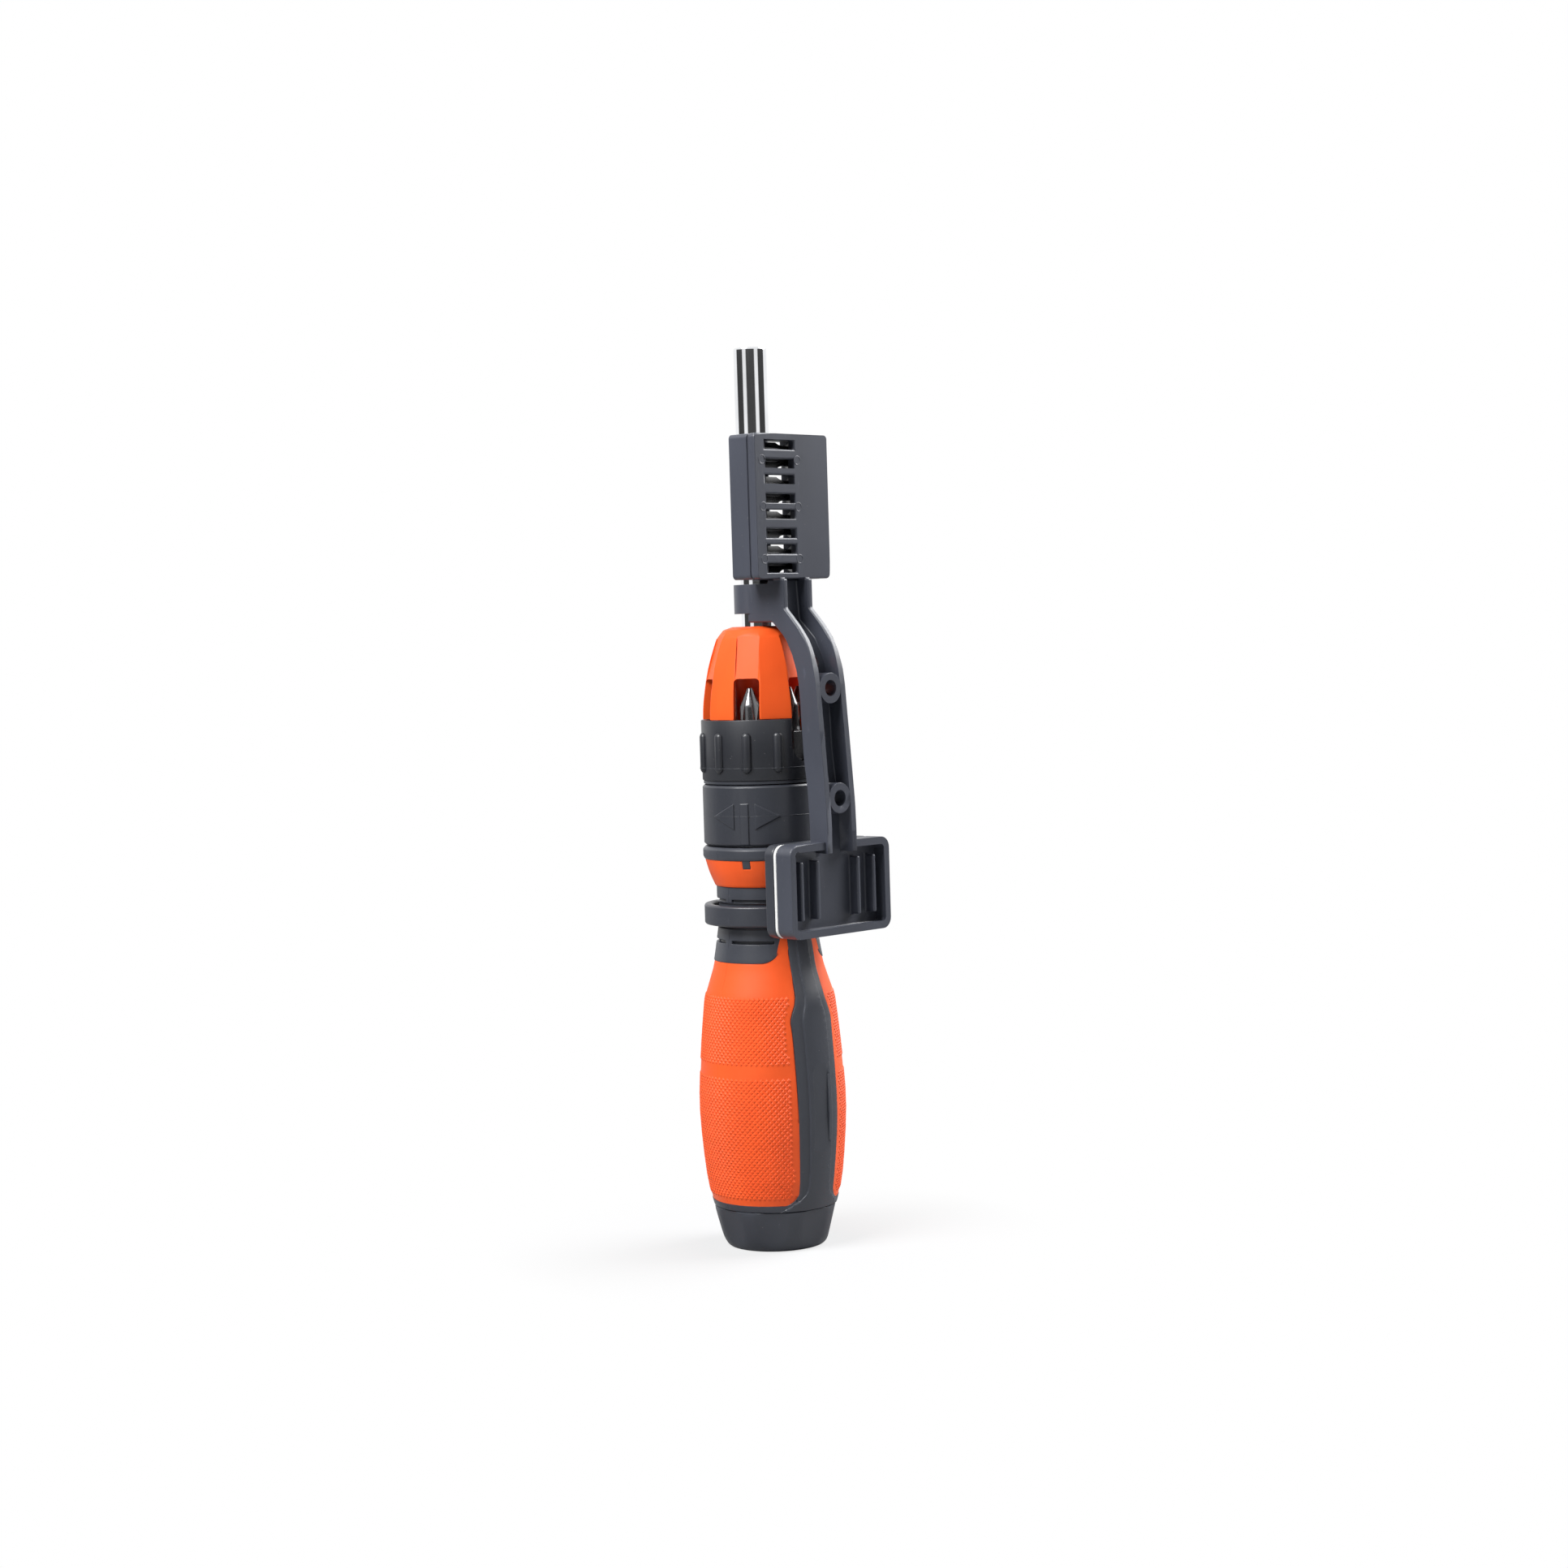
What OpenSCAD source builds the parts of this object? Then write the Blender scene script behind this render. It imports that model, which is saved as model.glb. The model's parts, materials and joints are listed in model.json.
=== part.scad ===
// Ratcheting screwdriver standing on its end cap, clipped in a wall holder with a bit tray.
// Origin at the centre of the end cap's base, +Z up the shaft, +X towards the holder.

/* [Shaft and bits] */
// Diameter of the round shaft
shaft_d = 9; // [8.6:0.1:10]
// Height of the shaft's tip above the base
shaft_top = 245.5; // [235:0.5:260]
// Width across the flats of a hex bit
bit_flats = 6.35; // [6:0.05:6.6]
// Length of a bit
bit_len = 25; // [24:0.5:26]
// Depth of the hex socket in the shaft's tip
socket_depth = 14; // [10:0.5:18]
// Radius of the circle that the stored bits stand on
bit_circle_r = 11; // [10.8:0.05:11.3]
// Number of bits stored in the nose
stored_bits = 6; // [6]

/* [End cap] */
// Height of the end cap
cap_h = 11.5; // [9:0.5:15]
// Radius of the flat that the tool stands on
cap_foot_r = 13; // [11:0.25:14]
// Radius of the cap at its seam with the handle
cap_r = 17; // [16.4:0.1:17.6]
// Number of flats round the cap
cap_flats = 8; // [6:1:12]
// Length of the plug that holds the cap in the handle
cap_plug_h = 10; // [6:0.5:16]

/* [Handle] */
// Largest radius of the grip
belly_r = 20.2; // [19:0.1:21.5]
// Height of the swelling from the cap to the neck
belly_h = 76; // [70:0.5:82]
// Radius of the neck
neck_r = 13.6; // [13:0.1:14.2]
// Height of the neck
neck_h = 12; // [11:0.25:15]
// Thickness of the soft grip panels
grip_t = 2.6; // [2:0.1:3.2]
// Half width of the dark spine between the panels
spine_half_w = 6.8; // [6:0.1:7.6]
// Height that the raised face of the spine stands proud
spine_lift = 0.5; // [0.3:0.05:0.8]
// Half width of the thumb pad under the neck
pad_half_w = 12.4; // [11:0.1:13]
// Height of the thumb pad
pad_h = 8.5; // [7:0.25:11]
// Height of the orange index band
band_h = 7.5; // [6:0.25:9]
// Radius of the flange on top of the handle
flange_r = 17; // [16.7:0.05:17.4]
// Height of the flange
flange_h = 3.5; // [3:0.1:5]
// Bearing of the spine, in degrees from the holder
handle_bearing = -5; // [-30:1:30]
// Width of the index mark
mark_w = 2.2; // [1.5:0.1:3]

/* [Selector] */
// Radius of the selector collar
selector_r = 16.6; // [16.3:0.05:17]
// Height of the selector collar
selector_h = 16.5; // [15.5:0.1:18]
// Swing of the selector to either side
selector_swing = 24; // [18:1:24]
// Bearing of the index mark and of the selector's bar, in degrees from the holder
mark_bearing = -64; // [-75:1:-45]
// Height that the arrows stand proud
arrow_lift = 0.35; // [0.2:0.05:0.6]

/* [Ratchet] */
// Number of teeth on the ratchet gear
gear_teeth = 24; // [12:12:24]
// Tip radius of the ratchet gear
gear_tip_r = 8; // [7.9:0.05:8.1]
// Root radius of the ratchet gear
gear_root_r = 6.2; // [6:0.05:6.3]
// Height of the ratchet gear
gear_h = 7; // [5.5:0.1:7.5]
// Radius of the ratchet body inside the selector
body_r = 13.3; // [13.2:0.05:13.4]
// Radius of the stem that holds the ratchet body in the handle
stem_r = 10.5; // [9.5:0.1:11]
// Length of the stem
stem_h = 14; // [11:0.25:16]
// Radius of a pawl pin
pawl_pin_r = 0.8; // [0.7:0.05:0.9]

/* [Bit ring] */
// Radius of the bit ring
ring_r = 16.5; // [16.3:0.05:17]
// Wall of the bit ring
ring_wall = 1.4; // [1.2:0.05:1.5]
// Height of the bit ring
ring_h = 16.4; // [15:0.1:18]
// Number of rib places round the ring
rib_places = 12; // [12]
// Width of a rib
rib_w = 2.7; // [2:0.1:3.4]
// Height of a rib
rib_h = 11; // [9:0.25:12]
// Height that a rib stands proud
rib_lift = 1; // [0.6:0.05:1.2]
// Width of the slot that lets a bit out
slot_w = 8.7; // [8:0.1:9.2]
// Depth of the slot from the ring's top
slot_depth = 11.6; // [10:0.1:13]

/* [Nose] */
// Height of the nose
nose_h = 25; // [23:0.25:28]
// Radius of the nose at its foot
nose_r = 15.6; // [15.4:0.05:15.9]
// Radius of the nose at its shoulder
nose_shoulder_r = 11.4; // [10.5:0.1:12]
// Radius of the flat on top of the nose
nose_top_r = 7; // [6.6:0.1:8]
// Width of a window
window_w = 7.2; // [6.8:0.1:8]
// Room above the bits in their windows
window_room = 2.6; // [1.5:0.1:3.5]
// Wall of the nose beside its windows
nose_wall = 1.6; // [1.2:0.05:1.7]

/* [Holder] */
// Distance from the nose up to the bit box
box_rise = 12.5; // [12:0.25:18]
// Wall of the bit tray
tray_wall = 1.4; // [1.2:0.05:2]
// Depth of the bit tray
tray_depth = 7.2; // [7:0.05:7.6]
// Thickness of the back plate
back_t = 2.4; // [2:0.1:3.2]
// Spacing of the bits in the tray
tray_pitch = 9.3; // [9:0.05:9.6]
// Width of the channel arm
arm_w = 11.4; // [10.4:0.1:12.4]
// Wall of the channel arm
arm_wall = 1.8; // [1.4:0.1:2.2]
// Radius of a screw boss
boss_r = 4.1; // [3.6:0.05:4.3]
// Radius of a screw hole
screw_r = 2.2; // [1.8:0.05:2.4]
// Distance between the two screw holes
screw_pitch = 29.4; // [26:0.1:31]
// Height of the lower screw hole above the lower plate's foot
screw_rise = 36.5; // [35:0.25:39]
// Width of the lower plate
plate_w = 38.6; // [34:0.2:44]
// Height of the lower plate
plate_h = 25; // [22:0.25:27]
// Distance from the foot of the neck down to the lower plate's foot
plate_drop = 0.5; // [0:0.25:1.5]
// Distance from the axis to the front of the lower plate
plate_front = 28.4; // [28:0.1:30]
// Thickness of the lower plate
plate_t = 5.6; // [5:0.1:6]
// Thickness of the foam pad
pad_t = 0.9; // [0.6:0.05:1.2]
// Thickness of the neck clip's plate
clip_plate_t = 3.4; // [2.8:0.1:3.8]
// Inner radius of the neck clip's ring
clip_r = 14.8; // [14.5:0.05:15.2]
// Wall of the neck clip's ring
clip_wall = 2.3; // [1.8:0.05:2.5]
// Height of the neck clip's ring
clip_h = 5.6; // [5:0.1:6.5]
// Height of the ring's foot above the foot of the neck
clip_rise = 1.5; // [1.5:0.1:3]

/* [Hidden] */
$fn = 48;

// Clearances: a running fit, a sliding gap and a gap between pieces that turn past each other
fit_gap = 0.05;
slide_gap = 0.1;
run_gap = 0.3;
// How far a cut runs past the face that it opens
overrun = 1;
// Half space used to keep one side of a piece
reach = 2 * shaft_top;

// Heights of the seams up the tool
z_neck = cap_h + belly_h;
z_band = z_neck + neck_h;
z_flange = z_band + band_h;
z_head = z_flange + flange_h;
z_selector = z_head + run_gap;
z_selector_top = z_selector + selector_h;
z_carrier = z_selector_top + run_gap;
carrier_floor_t = 0.8;
z_bits = z_carrier + carrier_floor_t;
z_ring = z_bits + slide_gap;
z_ring_top = z_ring + ring_h;
z_nose = z_ring_top + slide_gap;
z_nose_top = z_nose + nose_h;
window_h = z_bits + bit_len + window_room - z_nose;

// Heights of the holder's parts
box_z = z_nose_top + box_rise;
plate_z = z_neck - plate_drop;
clip_z = z_neck + clip_rise;
screw_z = plate_z + screw_rise;

// Heights inside the ratchet head
body_floor_t = 2.5;
washer_t = 1;
z_washer = z_head + body_floor_t;
z_gear = z_washer + washer_t;
z_cover = z_gear + gear_h + run_gap;
z_stem = z_head - stem_h;

// Heights of the tail of the shaft inside the neck
tail_len = 8;
tail_room = 1;
tail_cavity_r = 8.5;
z_tail = z_stem - tail_len;

// Points on a smooth curve through a few given points
function curve_at(a, b, c, d, t) =
    (2 * b + (c - a) * t + (2 * a - 5 * b + 4 * c - d) * t * t + (3 * b - a - 3 * c + d) * t * t * t) / 2;
function smooth(p, n) = concat(
    [for (i = [0 : len(p) - 2], k = [0 : n - 1])
        curve_at(p[max(i - 1, 0)], p[i], p[i + 1], p[min(i + 2, len(p) - 1)], k / n)],
    [p[len(p) - 1]]
);
function turned(p, a) = [p[0] * cos(a) - p[1] * sin(a), p[0] * sin(a) + p[1] * cos(a)];

// A flat bar with round ends from one point to another
module bar(p, q, w) {
    along = q - p;
    translate(p) circle(d = w);
    translate(q) circle(d = w);
    translate(p)
        rotate(atan2(along[1], along[0]))
            translate([0, -w / 2])
                square([norm(along), w]);
}

// A rectangle centred on X with round corners, standing on Y = 0
module round_plate(w, h, r) {
    translate([r - w / 2, 0]) square([w - 2 * r, h]);
    translate([-w / 2, r]) square([w, h - 2 * r]);
    for (x = [r - w / 2, w / 2 - r], y = [r, h - r])
        translate([x, y]) circle(r);
}

// Stands a flat outline (across, up) so that it is swept along +X or along +Y
module swept_x(x0, x1) {
    translate([x0, 0, 0]) rotate([90, 0, 90]) linear_extrude(x1 - x0) children();
}
module swept_y(y0, y1) {
    translate([0, y1, 0]) rotate([90, 0, 0]) linear_extrude(y1 - y0) children();
}

// End cap: a turned cup form with flats all round and a plug that holds it in the handle
cap_rim_share = 0.16;
cap_waist_share = 0.55;
cap_flat_sink = 0.35;
cap_flat_lean = 14;
core_bore_r = 10;
module end_cap_outline(lift) {
    rise = cap_r - cap_foot_r;
    flank = smooth([
        [cap_foot_r, 0],
        [cap_foot_r + rise * (1 - cap_waist_share) / 2, cap_h * cap_rim_share / 2],
        [cap_foot_r + rise * cap_waist_share, cap_h * cap_rim_share * 2],
        [cap_r - cap_flat_sink / 2, cap_h * (1 - cap_rim_share)],
        [cap_r, cap_h]
    ], 3);
    polygon(concat([[0, 0]], flank, [[core_bore_r, cap_h], [core_bore_r, cap_h + lift], [0, cap_h + lift]]));
}
module end_cap() {
    color("#2b2e33")
        difference() {
            rotate_extrude() end_cap_outline(cap_plug_h);
            for (k = [0 : cap_flats - 1])
                rotate(handle_bearing + k * 360 / cap_flats)
                    translate([cap_r - cap_flat_sink, 0, cap_h])
                        rotate([0, cap_flat_lean, 0])
                            translate([0, -cap_r, -2 * cap_h])
                                cube([cap_r, 2 * cap_r, 3 * cap_h]);
        }
}

// Handle: outline of the swelling, as shares of its height and of its largest radius
belly_shares = [
    [0, 0.842], [0.11, 0.931], [0.34, 1], [0.53, 0.97],
    [0.7, 0.911], [0.76, 0.879], [0.82, 0.81], [0.88, 0.746]
];
function belly(lift) = smooth(concat(
    [for (s = belly_shares) [belly_r * s[1] + lift, cap_h + belly_h * s[0]]],
    [[neck_r + lift, z_neck]]
), 3);

// Outline of the dark spine, as shares of the swelling's height and of the spine's half width
spine_shares = [
    [0, 0.9], [0.1, 0.9], [0.3, 1], [0.62, 1.02], [0.69, 1.03], [0.765, 0.74], [0.9, 0.64], [1, 0.62]
];
raised_shares = [
    [0, 1.5], [0.02, 1.15], [0.05, 0.72], [0.1, 0.52], [0.3, 0.56],
    [0.62, 0.58], [0.69, 0.58], [0.765, 0.36], [0.9, 0.3], [0.98, 0.28]
];
panel_foot = 1.8;
panel_corner = 4;
panel_top_gap = 1;
pad_corner = 2.5;
z_panel = cap_h + panel_foot;
z_panel_top = z_neck - panel_top_gap;
z_pad = z_neck - pad_h;

module spine_outline(shares) {
    side = smooth([for (s = shares) [spine_half_w * s[1], cap_h + belly_h * s[0]]], 3);
    last = len(side) - 1;
    polygon(concat(side, [for (i = [0 : last]) [-side[last - i][0], side[last - i][1]]]));
}
module spine_zone() {
    swept_x(-belly_r - overrun, belly_r + overrun) {
        spine_outline(spine_shares);
        for (side = [0, 1])
            mirror([side, 0])
                translate([spine_half_w * spine_shares[0][1] - slide_gap, z_panel - slide_gap])
                    difference() {
                        square(panel_corner);
                        translate([panel_corner, panel_corner]) circle(panel_corner);
                    }
    }
}
module pad_zone() {
    swept_y(-belly_r - overrun, belly_r + overrun)
        translate([0, z_pad])
            round_plate(2 * pad_half_w, 2 * pad_h, pad_corner);
}
module panel_zone(side) {
    difference() {
        translate([-reach / 2, side > 0 ? 0 : -reach / 2, z_panel])
            cube([reach, reach / 2, z_panel_top - z_panel]);
        spine_zone();
        pad_zone();
    }
}
module swelling(lift) {
    outline = belly(lift);
    rotate_extrude()
        polygon(concat([[0, cap_h]], outline, [[0, z_neck]]));
}
module grip(side) {
    color("#ff5a26")
        rotate(handle_bearing)
            intersection() {
                difference() {
                    swelling(0);
                    swelling(-grip_t);
                }
                panel_zone(side);
            }
}
module grip_left() {
    grip(-1);
}
module grip_right() {
    grip(1);
}

// Index band round the top of the handle, with a gap for the index mark
band_seat = 1.2;
band_proud = 0.3;
band_ledge = 0.5;
band_bulge = 0.5;
band_in_r = neck_r - band_seat;
band_foot_r = neck_r + band_proud;
band_top_r = flange_r - band_ledge;
mark_h = 2.3;
function band_flank(lift) = smooth([
    [band_foot_r + lift, z_band],
    [(band_foot_r + band_top_r) / 2 + band_bulge / 2 + lift, (z_band + z_flange) / 2],
    [band_top_r + lift, z_flange]
], 4);
module mark_zone(bearing) {
    rotate(bearing)
        translate([0, -mark_w / 2, z_flange - mark_h])
            cube([reach, mark_w, mark_h + overrun]);
}
module index_band() {
    color("#ff5a26")
        difference() {
            rotate_extrude()
                polygon(concat([[band_in_r, z_band]], band_flank(0), [[band_in_r, z_flange]]));
            mark_zone(mark_bearing);
        }
}

// Handle core: spines, thumb pads, neck, index mark and flange in one moulding
flange_round = 0.8;
slot_h = 0.9;
slot_sink = 0.8;
slot_span = 52;
slot_bearing = 31;
neck_slot_z = z_neck + 7.7;
waist_sink = 0.45;
waist_foot = 0.5;
waist_slope = 0.4;
pad_slot_z = z_neck - 3.4;
badge_w = 5;
badge_h = 30;
badge_z = cap_h + 11;
badge_sink = 0.5;
badge_corner = 1;
seam_lift_share = 0.3;
function core_flank() = smooth(concat(
    [for (s = belly_shares)
        let (lift = spine_lift * max(seam_lift_share, min(1, s[0] / belly_shares[1][0])))
        [belly_r * s[1] + lift, cap_h + belly_h * s[0]]],
    [[neck_r + spine_lift, z_neck]]
), 3);
module core_blank() {
    outline = core_flank();
    rotate_extrude()
        polygon(concat(
            [[0, cap_h]], outline, [[neck_r, z_neck], [neck_r, z_neck + waist_foot]],
            [[neck_r - waist_sink, z_neck + waist_foot + waist_slope]],
            [[neck_r - waist_sink, neck_slot_z - waist_slope], [neck_r, neck_slot_z]],
            [[neck_r, z_band]], band_flank(0),
            [[flange_r - flange_round / 2, z_flange], [flange_r, z_flange + flange_round]],
            [[flange_r, z_head - flange_round], [flange_r - flange_round, z_head], [0, z_head]]
        ));
}
module raised_face_cut() {
    difference() {
        swelling(spine_lift + overrun);
        swelling(0);
        swept_x(-belly_r - 2 * overrun, belly_r + 2 * overrun) spine_outline(raised_shares);
    }
}
module band_cut() {
    difference() {
        translate([0, 0, z_band]) cylinder(r = flange_r + overrun, h = band_h);
        translate([0, 0, z_band - overrun]) cylinder(r = band_in_r, h = band_h + 2 * overrun);
        mark_zone(mark_bearing - handle_bearing);
    }
}
module arc_slots(r, z) {
    for (side = [-1, 1], end = [-1, 1])
        translate([0, 0, z])
            rotate(side * 90 + end * slot_bearing - slot_span / 2)
                rotate_extrude(angle = slot_span)
                    translate([r - slot_sink, 0])
                        square([slot_sink + 2 * overrun, slot_h]);
}
module handle_core() {
    color("#33363b")
        rotate(handle_bearing)
            difference() {
                core_blank();
                raised_face_cut();
                for (side = [-1, 1])
                    intersection() {
                        difference() {
                            swelling(overrun);
                            swelling(-grip_t);
                        }
                        panel_zone(side);
                    }
                band_cut();
                arc_slots(neck_r, neck_slot_z);
                arc_slots(neck_r, pad_slot_z);
                swept_x(belly_r + spine_lift - badge_sink - slide_gap, belly_r + overrun)
                    translate([0, badge_z])
                        round_plate(badge_w, badge_h, badge_corner);
                translate([0, 0, cap_h - overrun])
                    cylinder(r = core_bore_r, h = z_tail - pad_h - cap_h + overrun);
                translate([0, 0, z_tail - tail_room])
                    cylinder(r = tail_cavity_r, h = z_stem - z_tail + tail_room + overrun);
                translate([0, 0, z_stem]) cylinder(r = stem_r, h = stem_h + overrun);
            }
}

// Pawls: each swings on its pin, with a tooth over the gear and a tail in the selector's cam track
pawl_arm = 5.2;
pivot_rise = 0.3;
arm_rise = 2;
tail_arm = 5;
tail_rise = 0.2;
tail_r = 0.9;
pawl_bar_w = 1.4;
pawl_boss_r = 1.5;
tooth_w = 0.8;
tooth_tip_w = 0.5;
// Depth of a pawl's tooth in the gear with the selector centred, and its clearance when lifted out
bite = 0.6;
lift_out = 0.15;
pocket_room = 0.4;
pin_seat = 1.8;
pawl_pivot = [pawl_arm, gear_tip_r + pivot_rise];
pawl_head = [0, gear_tip_r + arm_rise];
pawl_tail = pawl_pivot + [tail_arm, tail_rise];
pawl_turn = asin((bite + lift_out) / pawl_arm);
pawl_ratio = pawl_turn / selector_swing;
pawl_sway = bite + lift_out + pocket_room;

function tail_at(swing) = pawl_pivot + turned(pawl_tail - pawl_pivot, -pawl_ratio * swing);

module pawl_outline() {
    difference() {
        union() {
            bar(pawl_head, pawl_pivot, pawl_bar_w);
            bar(pawl_pivot, pawl_tail, pawl_bar_w);
            translate(pawl_pivot) circle(pawl_boss_r);
            translate(pawl_tail) circle(tail_r);
            polygon([
                [-tooth_w / 2, pawl_head[1]], [-tooth_tip_w / 2, gear_tip_r - bite],
                [tooth_tip_w / 2, gear_tip_r - bite], [tooth_w / 2, pawl_head[1]]
            ]);
        }
        translate(pawl_pivot) circle(pawl_pin_r + fit_gap);
    }
}
module pawl(side) {
    color("#8a8d90")
        mirror([0, side])
            translate([0, 0, z_gear])
                linear_extrude(gear_h)
                    pawl_outline();
}
module pawl_left() {
    pawl(1);
}
module pawl_right() {
    pawl(0);
}
module pawl_pins() {
    foot = z_gear - slide_gap - pin_seat;
    color("#b9bcc0")
        for (side = [-1, 1])
            translate([pawl_pivot[0], side * pawl_pivot[1], foot])
                cylinder(r = pawl_pin_r, h = z_cover + pin_seat - foot);
}

// Leaf spring behind a pawl, from the wall of its pocket to the back of its arm
spring_t = 0.3;
spring_root_share = 0.35;
spring_end_share = 0.85;
module pawl_spring(side) {
    along = pawl_head - pawl_pivot;
    out = turned(along / norm(along), -90);
    root_off = pawl_bar_w / 2 + pawl_sway - spring_t / 2 - fit_gap;
    end_off = pawl_bar_w / 2 + spring_t / 2 + fit_gap;
    root = pawl_pivot + along * spring_root_share + out * root_off;
    end = pawl_pivot + along * spring_end_share + out * end_off;
    color("#b9bcc0")
        mirror([0, side])
            translate([0, 0, z_gear])
                linear_extrude(gear_h)
                    bar(root, end, spring_t);
}
module pawl_spring_left() {
    pawl_spring(1);
}
module pawl_spring_right() {
    pawl_spring(0);
}

// Detent spring: a leaf with a round nose that drops into one of three notches in the selector
detent_nose_r = 1.3;
detent_reach = 0.8;
detent_leaf_t = 0.6;
detent_leaf_w = 7;
detent_h = 4;
detent_play = 0.15;
detent_r = body_r + detent_reach - detent_nose_r;
detent_back_r = detent_r - detent_nose_r;
z_detent = z_gear + (gear_h - detent_h) / 2;
module detent_spring() {
    color("#b9bcc0")
        translate([0, 0, z_detent])
            linear_extrude(detent_h) {
                translate([-detent_r, 0]) circle(detent_nose_r);
                translate([-detent_back_r - detent_leaf_t, -detent_leaf_w / 2])
                    square([detent_leaf_t, detent_leaf_w]);
            }
}

// Ratchet body: a stem held in the handle and a pot with the gear chamber and the pawl pockets
module pawl_pocket() {
    bar(pawl_head, pawl_pivot, pawl_bar_w + 2 * pawl_sway);
    bar([0, gear_tip_r], pawl_head, tooth_w + 2 * pawl_sway);
    bar(pawl_pivot, pawl_tail + [tail_arm, 0], 2 * (tail_r + pawl_sway));
}
module pin_holes(z, h) {
    for (side = [-1, 1])
        translate([pawl_pivot[0], side * pawl_pivot[1], z])
            cylinder(r = pawl_pin_r, h = h);
}
module ratchet_body() {
    z_pocket = z_gear - slide_gap;
    color("#55585c")
        difference() {
            union() {
                translate([0, 0, z_stem]) cylinder(r = stem_r, h = stem_h + body_floor_t / 2);
                translate([0, 0, z_head]) cylinder(r = body_r, h = z_cover - z_head);
            }
            translate([0, 0, z_stem - overrun])
                cylinder(d = shaft_d + 2 * fit_gap, h = z_cover - z_stem + 2 * overrun);
            translate([0, 0, z_washer])
                cylinder(r = gear_tip_r + run_gap, h = z_cover - z_washer + overrun);
            for (side = [0, 1])
                mirror([0, side])
                    translate([0, 0, z_pocket])
                        linear_extrude(z_cover - z_pocket + overrun)
                            pawl_pocket();
            pin_holes(z_pocket - pin_seat, 2 * pin_seat);
            translate([-body_r - overrun, -detent_leaf_w / 2, z_detent])
                cube([body_r + overrun - detent_back_r + detent_leaf_t, detent_leaf_w, detent_h]);
            translate([-detent_back_r - detent_leaf_t, -detent_leaf_w / 2, z_detent])
                cube([detent_leaf_t + overrun / 2, detent_leaf_w, detent_h]);
        }
}

// Ratchet cover: closes the pot and guides the shaft above the gear
cover_chamfer = 0.6;
module ratchet_cover() {
    color("#55585c")
        difference() {
            rotate_extrude()
                polygon([
                    [shaft_d / 2 + fit_gap, z_cover], [body_r, z_cover],
                    [body_r, z_selector_top - cover_chamfer],
                    [body_r - cover_chamfer, z_selector_top], [shaft_d / 2 + fit_gap, z_selector_top]
                ]);
            pin_holes(z_cover - overrun, pin_seat + overrun);
        }
}

// Selector collar: cam tracks for the pawls' tails inside, arrows and a bar outside
selector_round = 0.6;
arrow_base = 3;
arrow_tip = 9.5;
arrow_half_h = 3.45;
arrow_z = z_selector + 8.1;
arrow_bar_w = 2.4;
track_steps = 8;
function track_point(swing, extra) =
    let (tail = tail_at(swing), bearing = atan2(tail[1], tail[0]) - swing + extra)
    (norm(tail) + tail_r + run_gap) * [cos(bearing), sin(bearing)];
function unit(p) = p / norm(p);
module cam_track() {
    nub = asin((tail_r + run_gap) / norm(pawl_tail));
    wall = concat(
        [track_point(-selector_swing, nub)],
        [for (k = [-track_steps : track_steps]) track_point(k * selector_swing / track_steps, 0)],
        [track_point(selector_swing, -nub)]
    );
    last = len(wall) - 1;
    polygon(concat(wall, [for (i = [0 : last]) unit(wall[last - i]) * (body_r - overrun)]));
}
module selector_marks() {
    swept_x(0, selector_r + overrun) {
        translate([-arrow_bar_w / 2, z_selector])
            square([arrow_bar_w, arrow_z + arrow_half_h - z_selector]);
        for (side = [-1, 1])
            polygon([
                [side * arrow_base, arrow_z - arrow_half_h],
                [side * arrow_tip, arrow_z],
                [side * arrow_base, arrow_z + arrow_half_h]
            ]);
    }
}
module selector_collar() {
    bore_r = body_r + slide_gap;
    color("#2f3237")
        difference() {
            union() {
                rotate_extrude()
                    polygon([
                        [0, z_selector], [selector_r - selector_round, z_selector],
                        [selector_r, z_selector + selector_round],
                        [selector_r, z_selector_top - selector_round],
                        [selector_r - selector_round, z_selector_top], [0, z_selector_top]
                    ]);
                rotate(mark_bearing)
                    intersection() {
                        selector_marks();
                        translate([0, 0, z_selector + selector_round])
                            cylinder(r = selector_r + arrow_lift, h = selector_h);
                    }
            }
            translate([0, 0, z_selector - overrun])
                cylinder(r = bore_r, h = selector_h + 2 * overrun);
            for (side = [0, 1])
                mirror([0, side])
                    translate([0, 0, z_gear - run_gap])
                        linear_extrude(gear_h + 2 * run_gap)
                            cam_track();
            for (k = [-1 : 1])
                rotate(k * selector_swing)
                    translate([-detent_r, 0, z_detent - detent_play])
                        cylinder(r = detent_nose_r + detent_play, h = detent_h + 2 * detent_play);
        }
}

// Shaft: hex socket with a magnet at its floor, a groove for the retaining ring at its tail
shaft_chamfer = 0.6;
socket_play = 0.1;
magnet_r = 2.9;
magnet_h = 4;
groove_depth = 0.8;
clip_t = 1;
clip_out_r = 6.6;
clip_gap_bearing = 60;
z_clip = z_stem - run_gap - clip_t;
module shaft() {
    shaft_r = shaft_d / 2;
    socket_w = bit_flats + 2 * socket_play;
    color("#d9dbde")
        difference() {
            rotate_extrude()
                polygon([
                    [0, z_tail], [shaft_r - shaft_chamfer, z_tail], [shaft_r, z_tail + shaft_chamfer],
                    [shaft_r, z_clip], [shaft_r - groove_depth, z_clip],
                    [shaft_r - groove_depth, z_clip + clip_t], [shaft_r, z_clip + clip_t],
                    [shaft_r, shaft_top - shaft_chamfer / 2],
                    [shaft_r - shaft_chamfer / 2, shaft_top], [0, shaft_top]
                ]);
            translate([0, 0, shaft_top - socket_depth])
                rotate(30)
                    cylinder(d = socket_w / cos(30), h = socket_depth + overrun, $fn = 6);
            translate([0, 0, shaft_top - socket_depth - magnet_h])
                cylinder(r = magnet_r, h = magnet_h + overrun);
        }
}
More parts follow.
